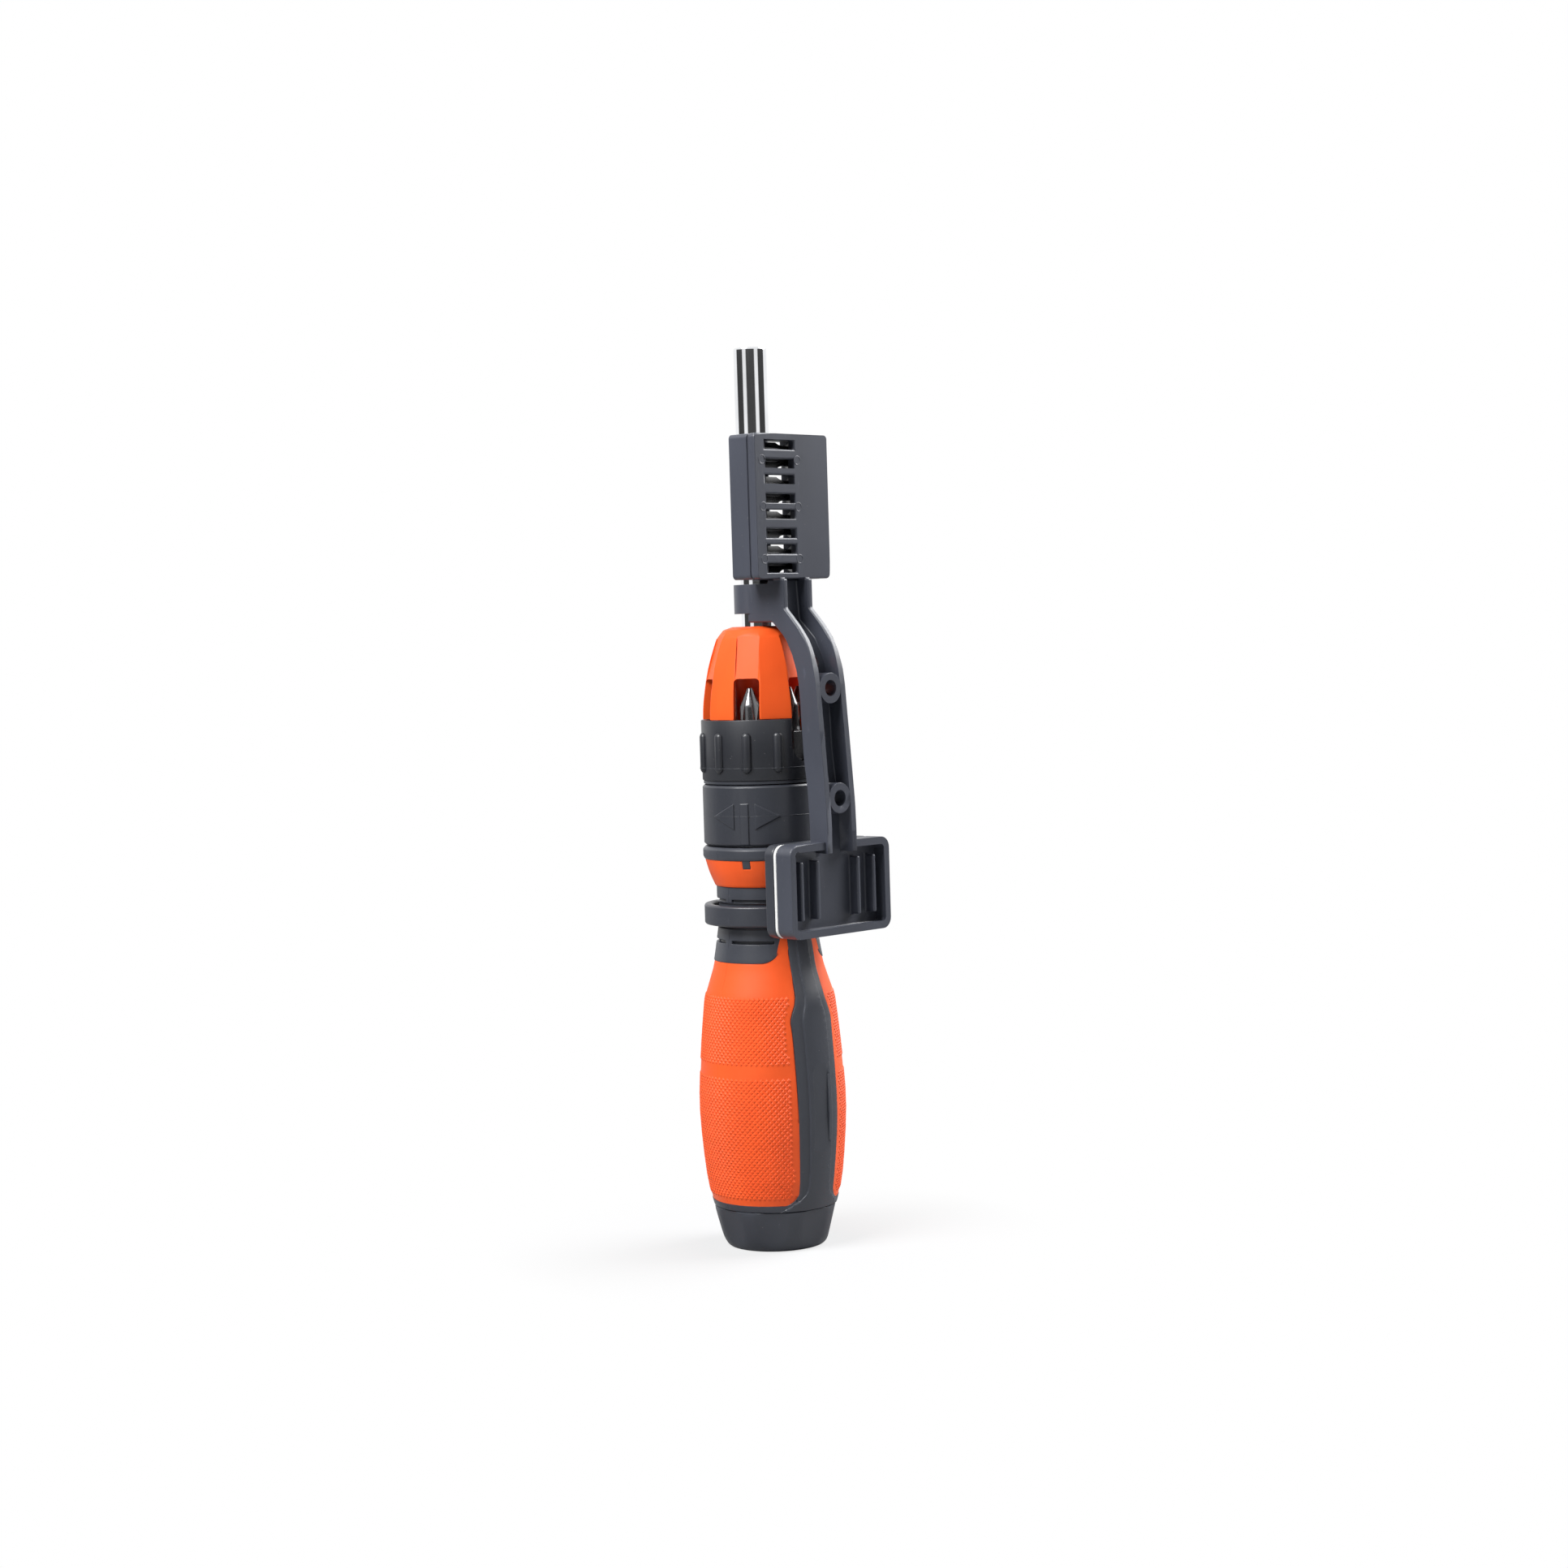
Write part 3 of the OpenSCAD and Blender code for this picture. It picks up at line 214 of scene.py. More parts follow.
class Finish(Net):
    """A material in the making, with patterns that follow the place on the object."""

    def __init__(self, name):
        self.material = bpy.data.materials.new(name)
        self.material.use_nodes = True
        super().__init__(self.material.node_tree)
        self.place = self.put("ShaderNodeTexCoord").outputs["Object"]

    def grain(self, size, detail=3.0, stretch=None):
        """Noise with features of the given size, stretched along the axes if asked."""
        place = self.place
        if stretch:
            place = self.wire("ShaderNodeMapping", {"Vector": place, "Scale": stretch})
        return self.wire("ShaderNodeTexNoise", {"Vector": place, "Scale": 1.0 / size, "Detail": detail})

    def cells(self, size):
        """Distance to the middle of the nearest cell, for cells of the given size."""
        return self.wire("ShaderNodeTexVoronoi", {"Vector": self.place, "Scale": 1.0 / size})

    def shades(self, noise, colour, low, high):
        """A colour that wanders between two shares of itself, as a noise does."""
        return self.mix(self.spread(noise, 0.0, 1.0), tint(colour, low), tint(colour, high))

    def bump(self, height, depth, strength, under=None):
        values = {"Height": height, "Distance": depth, "Strength": strength}
        if under:
            values["Normal"] = under
        return self.wire("ShaderNodeBump", values)

    def done(self, values):
        """Sets the shader and gives the material."""
        self.plug(self.tree.nodes["Principled BSDF"], values)
        return self.material


# Finishes


def moulded_plastic(name, colour, rough, size, depth):
    """Moulded plastic: fine spark texture, faint flow marks, a few pale scuffs and dust."""
    flow_size, scuff_size, dust_size = 16 * MM, 2.2 * MM, 2.6 * MM
    dust_colour, scuff_tone, spark = (0.4, 0.4, 0.4, 1.0), 1.7, 0.55
    net = Finish(name)
    fine = net.grain(size, detail=4.0)
    flow = net.grain(flow_size, stretch=(1.0, 1.0, 0.35))
    scuff = net.grain(scuff_size, detail=5.0, stretch=(1.0, 1.0, 0.4))
    scuffed = net.spread(scuff, 0.0, 0.5, start=0.66, end=0.8)
    dusty = net.spread(net.cells(dust_size), 0.45, 0.0, start=0.0, end=0.055)
    worn = net.mix(scuffed, net.shades(flow, colour, 0.86, 1.12), tint(colour, scuff_tone))
    return net.done({
        "Base Color": net.mix(dusty, worn, dust_colour),
        "Roughness": net.spread(fine, rough - 0.06, rough + 0.08),
        "Normal": net.bump(fine, depth, spark),
        "IOR": 1.5,
    })


def soft_rubber(name, colour):
    """Soft grip: matt, a little lighter at grazing angles, with fine pores."""
    tone_size, pore_size, fine_size, depth = 11 * MM, 0.5 * MM, 0.16 * MM, 0.02 * MM
    net = Finish(name)
    fine = net.grain(fine_size)
    pored = net.bump(net.cells(pore_size), depth, strength=0.25)
    return net.done({
        "Base Color": net.shades(net.grain(tone_size), colour, 0.9, 1.05),
        "Roughness": net.spread(fine, 0.5, 0.66),
        "Normal": net.bump(fine, depth, strength=0.3, under=pored),
        "IOR": 1.48,
        "Sheen Weight": 0.12,
        "Sheen Roughness": 0.5,
        "Sheen Tint": (1.0, 0.6, 0.45, 1.0),
    })


def satin(net, colour, shine):
    """Ends a finish with a colour on a satin surface."""
    fine_size, depth = 0.2 * MM, 0.012 * MM
    fine = net.grain(fine_size)
    return net.done({
        "Base Color": colour,
        "Roughness": net.spread(fine, 0.38, 0.5),
        "Normal": net.bump(fine, depth, strength=0.3),
        "IOR": 1.45,
        "Specular IOR Level": shine,
    })


def satin_plastic(name, colour):
    """Satin plastic with faint flow marks and a weak shine."""
    flow_size, shine = 9 * MM, 0.25
    net = Finish(name)
    flow = net.grain(flow_size, stretch=(1.0, 1.0, 0.4))
    return satin(net, net.shades(flow, colour, 0.92, 1.05), shine)


def pocket_plastic(name, foot_colour, pocket_colour, height):
    """Plastic of the bit carrier: dark in its foot, orange in the pockets above a height, with that
    orange darkened a little as painted shade.
    """
    # The pockets' orange is darkened by a tenth as painted shade of the recess they sit in.
    border, painted_shade, shine = 0.1 * MM, 0.9, 0.5
    net = Finish(name)
    rise = net.put("ShaderNodeSeparateXYZ", {0: net.place}).outputs["Z"]
    above = net.spread(rise, 0.0, 1.0, start=height, end=height + border)
    return satin(net, net.mix(above, tint(foot_colour, 1.0), tint(pocket_colour, painted_shade)), shine)


def metal(name, colour, rough, size, depth, stretch):
    """Metal with a worked surface: brushed, sandblasted or ground by its grain."""
    tone_size, smoothest, roughest = 7 * MM, 0.75, 1.3
    net = Finish(name)
    fine = net.grain(size, stretch=stretch)
    return net.done({
        "Base Color": net.shades(net.grain(tone_size), colour, 0.92, 1.06),
        "Metallic": 1.0,
        "Roughness": net.spread(fine, rough * smoothest, rough * roughest),
        "Normal": net.bump(fine, depth, strength=0.3),
    })


def cell_foam(name, colour):
    """Closed-cell foam tape with a pattern of small cells."""
    tone_size, cell_size, depth = 5 * MM, 0.28 * MM, 0.06 * MM
    net = Finish(name)
    foam = net.cells(cell_size)
    return net.done({
        "Base Color": net.shades(net.grain(tone_size, detail=2.0), colour, 0.94, 1.04),
        "Roughness": net.spread(foam, 0.75, 0.95, start=0.0, end=0.8),
        "Normal": net.bump(foam, depth, strength=0.5),
    })


FINISH = {}


def make_finishes(scene):
    """Makes a finish for each material slot, and those of the pieces that differ from their slot."""
    handle, head = scene.driver_handle, scene.driver_head
    metals, holder = scene.driver_metal, scene.driver_holder
    for key, name, colour, rough, size, depth in (
        ("dark_plastic", "moulded handle core", handle.core_colour, 0.36, 0.22, 0.02),
        ("black_plastic", "moulded collar", head.collar_colour, 0.36, 0.2, 0.02),
        ("bit_ring", "moulded bit ring", head.ring_colour, 0.36, 0.2, 0.02),
        # The clip's darker colour is painted shade.
        ("neck_clip", "moulded clip", holder.clip_painted_shade_colour, 0.36, 0.26, 0.03),
        ("holder_plastic", "moulded holder", holder.plastic_colour, 0.38, 0.26, 0.03),
    ):
        FINISH[key] = moulded_plastic(name, colour, rough, size * MM, depth * MM)
    even, drawn = None, (1.0, 1.0, 0.04)
    for key, name, colour, rough, size, depth, stretch in (
        ("chrome", "plated shaft", metals.chrome_colour, 0.06, 0.5, 0.002, drawn),
        ("bit_steel", "blackened bit", metals.bit_colour, 0.24, 0.12, 0.004, even),
        ("grey_metal", "sintered works", metals.works_colour, 0.42, 0.2, 0.015, even),
        ("bright_steel", "bright spring steel", metals.bright_colour, 0.2, 0.4, 0.004, drawn),
        ("magnet", "plated magnet", metals.bright_colour, 0.16, 0.3, 0.003, even),
    ):
        FINISH[key] = metal(name, colour, rough, size * MM, depth * MM, stretch)
    pockets_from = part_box("bit_ring")[0].z + head.pocket_rise
    FINISH.update({
        "orange_grip": soft_rubber("soft orange grip", handle.grip_colour),
        "orange_plastic": satin_plastic("satin orange", head.nose_colour),
        "pockets": pocket_plastic("bit pockets", head.collar_colour, head.nose_colour, pockets_from),
        "foam": cell_foam("white foam tape", holder.foam_colour),
    })


# Mesh helpers


def new_piece(mesh, finish):
    """Links an object with the name of its mesh, in a finish."""
    piece = bpy.data.objects.new(mesh.name, mesh)
    bpy.context.scene.collection.objects.link(piece)
    mesh.materials.clear()
    mesh.materials.append(FINISH[finish])
    return piece


def settled(piece):
    """The plain mesh that a piece's modifiers make."""
    graph = bpy.context.evaluated_depsgraph_get()
    return bpy.data.meshes.new_from_object(piece.evaluated_get(graph))


def settle(piece):
    """Turns a piece with its modifiers into a plain mesh."""
    mesh = settled(piece)
    piece.modifiers.clear()
    old, piece.data = piece.data, mesh
    mesh.name = piece.name
    bpy.data.meshes.remove(old)
    return piece


def shade(piece, angle=35.0):
    """Smooth faces, with sharp edges where two faces meet at more than the angle."""
    mesh = piece.data
    mesh.polygons.foreach_set("use_smooth", [True] * len(mesh.polygons))
    mesh.set_sharp_from_angle(angle=radians(angle))
    return piece


def crossings(corners, normal):
    """The corners next to the places where a face's outline crosses itself."""
    across = normal.orthogonal().normalized()
    along = normal.cross(across)
    flat = [(p.dot(across), p.dot(along)) for p in corners]
    count = len(flat)

    def turn(a, b, c):
        return (b[0] - a[0]) * (c[1] - a[1]) - (b[1] - a[1]) * (c[0] - a[0])

    found = []
    for i in range(count):
        a, b = flat[i], flat[(i + 1) % count]
        for j in range(i + 2, count):
            c, d = flat[j], flat[(j + 1) % count]
            if turn(a, b, c) * turn(a, b, d) < 0 and turn(c, d, a) * turn(c, d, b) < 0:
                found += [corners[k % count] for k in (i, i + 1, j, j + 1)]
    return found


def flaws(mesh, before, radius):
    """Places where rounding has folded a face or thrown a corner out."""
    least_area, least_facing, long_outline, stray = 1e-12, 0.3, 8, 1.3 * radius
    mesh.calc_loop_triangles()
    folded = {
        t.polygon_index for t in mesh.loop_triangles
        if t.area > least_area and t.normal.dot(mesh.polygons[t.polygon_index].normal) < least_facing
    }
    spots = []
    for index in folded:
        face = mesh.polygons[index]
        corners = [mesh.vertices[v].co.copy() for v in face.vertices]
        spots += (len(corners) > long_outline and crossings(corners, face.normal)) or corners
    thrown = [v for v in mesh.vertices if before.find_nearest(v.co, stray)[0] is None]
    return spots + [v.co.copy() for v in thrown]


def round_edges(piece, radius, angle=32.0, segments=2):
    """Rounds the edges of a moulding, less where a full round would fold a face."""
    attempts, halvings, reach, growth = 14, 6, 1.6 * radius, 0.2 * radius
    mesh = piece.data
    work = bmesh.new()
    work.from_mesh(mesh)
    limit = radians(angle)
    weights = [float(e.is_manifold and e.calc_face_angle(0.0) > limit) for e in work.edges]
    before = BVHTree.FromBMesh(work)
    edges_at = {v.index: [e.index for e in v.link_edges if weights[e.index]] for v in work.verts}
    corners = KDTree(len(work.verts))
    for vert in work.verts:
        if edges_at[vert.index]:
            corners.insert(vert.co, vert.index)
    corners.balance()
    work.free()
    layer = mesh.attributes.new("bevel_weight_edge", "FLOAT", "EDGE")
    bevel = piece.modifiers.new("rounds", "BEVEL")
    bevel.width, bevel.segments, bevel.limit_method = radius, segments, "WEIGHT"
    bevel.use_clamp_overlap = False
    for attempt in range(attempts):
        layer.data.foreach_set("value", weights)
        mesh.update_tag()
        tried = settled(piece)
        spots = flaws(tried, before, radius)
        bpy.data.meshes.remove(tried)
        if not spots:
            break
        near = set()
        for spot in spots:
            found = corners.find_range(spot, reach + growth * attempt) or [corners.find(spot)]
            near.update(e for _, index, _ in found for e in edges_at[index])
        for edge in near:
            weights[edge] *= 0.5 if attempt < halvings else 0.0
    return settle(piece)


def even_normals(piece, angle=35.0):
    """Keeps flat faces flat in the shading, with the rounds between them smooth."""
    shade(piece, angle)
    piece.modifiers.new("normals", "WEIGHTED_NORMAL").keep_sharp = True
    return settle(piece)


def node_copy(node, flat=0.4):
    """A merged copy of a node's solid, with faces joined that meet at less than an angle."""
    merge = 2e-6
    work = bmesh.new()
    work.from_mesh(frame["nodes"][node].data)
    bmesh.ops.remove_doubles(work, verts=work.verts, dist=merge)
    bmesh.ops.dissolve_limit(
        work, angle_limit=radians(flat), verts=work.verts, edges=work.edges, delimit=set()
    )
    return work


def to_mesh(work, name):
    mesh = bpy.data.meshes.new(name)
    work.to_mesh(mesh)
    work.free()
    return mesh


def seat(piece, node):
    """Lets a finished piece stand for its node and ride on the node's body."""
    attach(piece, BODY_OF[node])
    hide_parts(node)
    return piece


def moulding(node, radius, angle=32.0, segments=2, rework=None, flat=0.4):
    """A finished copy of a node, reworked where asked, with rounded edges."""
    work = node_copy(node, flat)
    if rework:
        rework(work)
    piece = new_piece(to_mesh(work, node + "_finished"), SLOT_OF[node])
    round_edges(piece, radius, angle, segments)
    even_normals(piece)
    return seat(piece, node)


def lathe(name, rows, count):
    """A form turned from rows of (radius, height); a radius can be a function of the bearing.

    A radius of zero closes an end, and a last row like the first closes a hollow form.
    """
    work = bmesh.new()
    rings = []
    for radius, height in rows:
        if rings and (radius, height) == rows[0]:
            rings.append(rings[0])
            continue
        ring = []
        for k in range(count if radius else 1):
            bearing = 2 * pi * k / count
            r = radius(bearing) if callable(radius) else radius
            ring.append(work.verts.new((r * cos(bearing), r * sin(bearing), height)))
        rings.append(ring)
    for low, high in zip(rings, rings[1:]):
        for k in range(count):
            around = (low, k), (low, k + 1), (high, k + 1), (high, k)
            work.faces.new(list(dict.fromkeys(ring[i % len(ring)] for ring, i in around)))
    bmesh.ops.recalc_face_normals(work, faces=work.faces)
    return to_mesh(work, name)


def curve_at(a, b, c, d, t):
    """A point between b and c on the smooth curve through four points."""
    bend, twist = 2 * a - 5 * b + 4 * c - d, 3 * b - a - 3 * c + d
    return (2 * b + (c - a) * t + bend * t ** 2 + twist * t ** 3) / 2


def smooth_line(points, steps):
    """Points on a smooth curve through a few given points."""
    points = [Vector(p) for p in points]
    last = len(points) - 1
    line = []
    for i in range(last):
        near = points[max(i - 1, 0)], points[i], points[i + 1], points[min(i + 2, last)]
        line += [curve_at(*near, k / steps) for k in range(steps)]
    return line + [points[last]]


def sunk(point, depth):
    """A point moved towards the axis."""
    return point - Vector((point.x, point.y, 0)).normalized() * depth


class Skin:
    """Finds the outer surface of some nodes, seen from outside towards the axis."""

    clear = 80 * MM

    def __init__(self, *nodes):
        points, faces = [], []
        for node in nodes:
            mesh = frame["nodes"][node].data
            faces += [[i + len(points) for i in face.vertices] for face in mesh.polygons]
            points += [v.co.copy() for v in mesh.vertices]
        self.tree = BVHTree.FromPolygons(points, faces)

    def at(self, bearing, height):
        out = Vector((cos(bearing), sin(bearing), 0))
        return self.tree.ray_cast(out * self.clear + UP * height, -out)[0]

    def up(self, bearing, low, high, steps):
        """Points up the surface at one bearing."""
        path = [self.at(bearing, low + (high - low) * k / steps) for k in range(steps + 1)]
        return [point for point in path if point]


# Trees of geometry nodes


class Growth(Net):
    """A tree of geometry nodes, with counts, measures and a material as its named inputs."""

    def __init__(self, name, counts, measures):
        super().__init__(bpy.data.node_groups.new(name, "GeometryNodeTree"))
        inputs = [("Geometry", "Geometry")] + [(label, "Int") for label in counts]
        inputs += [(label, "Float") for label in measures] + [("Material", "Material")]
        sockets = self.tree.interface
        for label, kind in inputs:
            sockets.new_socket(label, in_out="INPUT", socket_type="NodeSocket" + kind)
        sockets.new_socket("Geometry", in_out="OUTPUT", socket_type="NodeSocketGeometry")
        self.given = self.put("NodeGroupInput").outputs

    def calc(self, operation, *terms):
        return self.wire("ShaderNodeMath", dict(enumerate(terms)), operation=operation)

    def times(self, first, second):
        return self.calc("MULTIPLY", first, second)

    def vector(self, x=0.0, y=0.0, z=0.0):
        return self.wire("ShaderNodeCombineXYZ", {"X": x, "Y": y, "Z": z})

    def scaled(self, base, factor):
        return self.wire("ShaderNodeVectorMath", {0: base, "Scale": factor}, operation="SCALE")

    def added(self, first, second):
        return self.wire("ShaderNodeVectorMath", {0: first, 1: second}, operation="ADD")

    def test(self, operation, first, second):
        return self.wire("FunctionNodeCompare", {0: first, 1: second}, operation=operation)

    def both(self, first, second, operation="AND"):
        return self.wire("FunctionNodeBooleanMath", {0: first, 1: second}, operation=operation)

    def circle(self, radius, corners):
        values = {"Resolution": corners, "Radius": radius}
        return self.wire("GeometryNodeCurvePrimitiveCircle", values)

    def done(self, grown, keep=False):
        """Ends the tree with what has grown, joined with what came in if that is kept."""
        plain = self.wire("GeometryNodeRealizeInstances", {0: grown})
        painted = {"Geometry": plain, "Material": self.given["Material"]}
        last = self.wire("GeometryNodeSetMaterial", painted)
        if keep:
            join = self.put("GeometryNodeJoinGeometry")
            for part in (last, self.given["Geometry"]):
                self.tree.links.new(part, join.inputs[0])
            last = join.outputs[0]
        self.put("NodeGroupOutput", {0: last})
        return self.tree


def grow(piece, tree, values):
    """Runs a tree on a piece, in the piece's own material, and keeps the result as a plain mesh."""
    values["Material"] = piece.data.materials[0]
    modifier = piece.modifiers.new(tree.name, "NODES")
    modifier.node_group = tree
    for item in tree.interface.items_tree:
        if item.item_type == "SOCKET" and item.in_out == "INPUT" and item.name in values:
            modifier[item.identifier] = values[item.name]
    return settle(piece)


def knurl_tree():
    """Rows of studs on a panel: each is cast from outside on to the panel, clear of its border."""
    stud_corners, stud_top, stud_bottom = 4, 0.2, 0.75
    net = Growth("Grip studs", ("Columns", "Rows"), (
        "Row spacing", "First row", "Cast radius", "Margin", "Stud width", "Stud height",
        "Lower band to", "Upper band from",
    ))
    given = net.given
    index = net.wire("GeometryNodeInputIndex")
    row = net.calc("FLOOR", net.calc("DIVIDE", index, given["Columns"]))
    column = net.calc("MODULO", index, given["Columns"])
    shift = net.times(net.calc("MODULO", row, 2.0), 0.5)
    turn = net.calc("DIVIDE", net.calc("ADD", column, shift), given["Columns"])
    bearing = net.times(turn, 2 * pi)
    cosine, sine = net.calc("COSINE", bearing), net.calc("SINE", bearing)
    height = net.calc("MULTIPLY_ADD", row, given["Row spacing"], given["First row"])
    out = net.vector(cosine, sine)
    inward = net.scaled(out, -1.0)
    start = net.added(net.scaled(out, given["Cast radius"]), net.vector(z=height))
    count = net.times(given["Columns"], given["Rows"])
    points = net.wire("GeometryNodePoints", {"Count": count, "Position": start})
    half_cast = net.times(given["Cast radius"], 0.5)
    place = net.wire("GeometryNodeInputPosition")

    def cast(source):
        return net.put("GeometryNodeRaycast", {
            "Target Geometry": given["Geometry"], "Source Position": source,
            "Ray Direction": inward, "Ray Length": half_cast,
        }).outputs

    hit = cast(place)
    keep = hit["Is Hit"]
    for direction in (net.vector(net.times(sine, -1.0), cosine), tuple(UP)):
        for sign in (-1.0, 1.0):
            step = net.scaled(direction, net.times(given["Margin"], sign))
            keep = net.both(keep, cast(net.added(place, step))["Is Hit"])
    upper = net.test("GREATER_EQUAL", height, given["Upper band from"])
    lower = net.test("LESS_EQUAL", height, given["Lower band to"])
    keep = net.both(keep, net.both(upper, lower, "OR"))
    down = net.scaled(hit["Hit Normal"], net.times(given["Stud height"], -1.0))
    stud = net.wire("GeometryNodeMeshCone", {
        "Vertices": stud_corners,
        "Radius Top": net.times(given["Stud width"], stud_top),
        "Radius Bottom": net.times(given["Stud width"], stud_bottom),
        "Depth": net.times(given["Stud height"], 2.0),
    })
    facing = net.wire("FunctionNodeAlignRotationToVector", {"Vector": hit["Hit Normal"]}, axis="Z")
    upright = net.wire("FunctionNodeAlignRotationToVector", {
        "Rotation": facing, "Vector": tuple(UP),
    }, axis="X", pivot_axis="Z")
    held = net.put("GeometryNodeCaptureAttribute", {0: points}, domain="POINT")
    for kind, label, value in (
        ("BOOLEAN", "keep", keep),
        ("VECTOR", "foot", net.added(hit["Hit Position"], down)),
        ("ROTATION", "turn", upright),
    ):
        held.capture_items.new(kind, label)
        net.plug(held, {label: value})
    kept = held.outputs
    moved = net.wire("GeometryNodeSetPosition", {"Geometry": kept[0], "Position": kept["foot"]})
    studs = net.wire("GeometryNodeInstanceOnPoints", {
        "Points": moved, "Selection": kept["keep"], "Instance": stud, "Rotation": kept["turn"],
    })
    return net.done(studs, keep=True)


def rib_tree():
    """Round-ended ribs on a ring, all round but for the first place."""
    round_steps, end_steps = 16, 9
    measures = ("Rib width", "Rib height", "Rib lift", "Foot", "Ring radius")
    net = Growth("Ring ribs", ("Places",), measures)
    given = net.given
    half = net.times(given["Rib width"], 0.5)
    ball = net.wire("GeometryNodeMeshUVSphere", {
        "Segments": round_steps, "Rings": end_steps, "Radius": half,
    })
    place = net.wire("GeometryNodeInputPosition")
    upper = net.test("GREATER_THAN", net.put("ShaderNodeSeparateXYZ", {0: place}).outputs["Z"], 0.0)
    run = net.vector(z=net.calc("SUBTRACT", given["Rib height"], given["Rib width"]))
    rib = net.wire("GeometryNodeSetPosition", {"Geometry": ball, "Selection": upper, "Offset": run})
    index = net.wire("GeometryNodeInputIndex")
    turn = net.calc("DIVIDE", net.calc("ADD", index, 1.0), given["Places"])
    bearing = net.times(turn, 2 * pi)
    spot = net.vector(
        net.times(net.calc("COSINE", bearing), given["Ring radius"]),
        net.times(net.calc("SINE", bearing), given["Ring radius"]),
        net.calc("ADD", given["Foot"], half),
    )
    count = net.calc("SUBTRACT", given["Places"], 1.0)
    ribs = net.wire("GeometryNodeInstanceOnPoints", {
        "Points": net.wire("GeometryNodePoints", {"Count": count, "Position": spot}),
        "Instance": rib,
        "Rotation": net.wire("FunctionNodeEulerToRotation", {0: net.vector(z=bearing)}),
        "Scale": net.vector(net.calc("DIVIDE", given["Rib lift"], half), 1.0, 1.0),
    })
    return net.done(ribs, keep=True)


def line_tree():
    """A fine raised line along a path, as the halves of a mould leave it."""
    corners = 6
    net = Growth("Mould line", (), ("Radius",))
    line = net.wire("GeometryNodeCurveToMesh", {
        "Curve": net.wire("GeometryNodeMeshToCurve", {0: net.given["Geometry"]}),
        "Profile Curve": net.circle(net.given["Radius"], corners),
        "Fill Caps": True,
    })
    return net.done(line)


def mark_tree():
    """Ring-shaped ejector marks at given points, facing along X."""
    ring_corners, bead_corners = 28, 8
    net = Growth("Ejector marks", (), ("Radius", "Bead"))
    mark = net.wire("GeometryNodeCurveToMesh", {
        "Curve": net.circle(net.given["Radius"], ring_corners),
        "Profile Curve": net.circle(net.given["Bead"], bead_corners),
    })
    marks = net.wire("GeometryNodeInstanceOnPoints", {
        "Points": net.wire("GeometryNodeMeshToPoints", {0: net.given["Geometry"]}),
        "Instance": mark,
        "Rotation": (0.0, pi / 2, 0.0),
    })
    return net.done(marks)


def grow_on_points(name, points, edges, finish, tree, values, angle):
    """A piece grown by a tree on points and the edges between them."""
    mesh = bpy.data.meshes.new(name)
    mesh.from_pydata(points, edges, [])
    piece = new_piece(mesh, finish)
    grow(piece, tree, values)
    return shade(piece, angle)


def mould_line(name, points, tree, body, slot, radius, closed=False):
    """A mould line along points, riding on a body."""
    last = len(points) - 1
    edges = [(k, k + 1) for k in range(last)] + [(last, 0)] * closed
    piece = grow_on_points(name, points, edges, slot, tree, {"Radius": radius}, angle=80.0)
    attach(piece, body)
    return piece


# Steps


class SCREWDRIVER_OT_finishes(bpy.types.Operator):
    """Make the finishes and give each node of the frame its own"""

    bl_idname = "screwdriver.finishes"
    bl_label = "Finishes"

    def execute(self, context):
        make_finishes(context.scene)
        for node, piece in frame["nodes"].items():
            piece.data.materials.clear()
            piece.data.materials.append(FINISH[FINISH_OF.get(node, SLOT_OF[node])])
        return {"FINISHED"}


class SCREWDRIVER_OT_end_cap(bpy.types.Operator):
    """Turn the end cap with its eight flats"""

    bl_idname = "screwdriver.end_cap"
    bl_label = "End cap"

    def execute(self, context):
        spines = context.scene.driver_handle.bearing
        low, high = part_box("end_cap")
        foot, rim, height, plug_radius = 13.0 * MM, 17.0 * MM, 11.5 * MM, 10.0 * MM
        flat, lean, soft = rim - 0.35 * MM, tan(radians(14.0)), 0.12 * MM
        half_flat, curve_steps, turn_steps = pi / 8, 6, 240
        foot_round = ((0.9, 0.0), (0.35, 0.07))
        rim_round = ((0.06, 0.3), (0.2, 0.1), (0.5, 0.0))
        flank_points = ((13.9, 0.92), (15.2, 3.68), (16.825, 9.66))
        line = [(foot, 0.0)] + [(r * MM, z * MM) for r, z in flank_points] + [(rim, height)]

        def flank(radius, z, inset=0.0):
            """The flank with its flats, which run softly into the round."""
            def at(bearing):
                away = (bearing - spines + half_flat) % (2 * half_flat) - half_flat
                face = (flat + (z - height) * lean) / cos(away)
                blend = soft * log1p(exp(-abs(radius - face) / soft))
                return min(radius, face) - blend - inset
            return at

        rows = [(0, low.z)]
        rows += [(foot - inset * MM, low.z + rise * MM) for inset, rise in foot_round]
        rows += [(flank(p.x, p.y), p.y) for p in smooth_line(line, curve_steps)[1:-2]]
        rows += [(flank(rim, height, inset * MM), height - drop * MM) for inset, drop in rim_round]
        rows += [(plug_radius, height), (plug_radius, high.z), (0, high.z)]
        piece = new_piece(lathe("end_cap_finished", rows, turn_steps), "dark_plastic")
        seat(shade(piece, angle=50.0), "end_cap")
        return {"FINISHED"}


class SCREWDRIVER_OT_core(bpy.types.Operator):
    """Round the edges of the handle core and of the index band"""

    bl_idname = "screwdriver.core"
    bl_label = "Handle core and index band"

    def execute(self, context):
        radius = context.scene.driver_handle.edge_radius
        core_share = 0.7
        # The core's long curves keep more of their small faces than the other mouldings do.
        moulding("handle_core", radius * core_share, flat=0.02)
        moulding("index_band", radius)
        return {"FINISHED"}


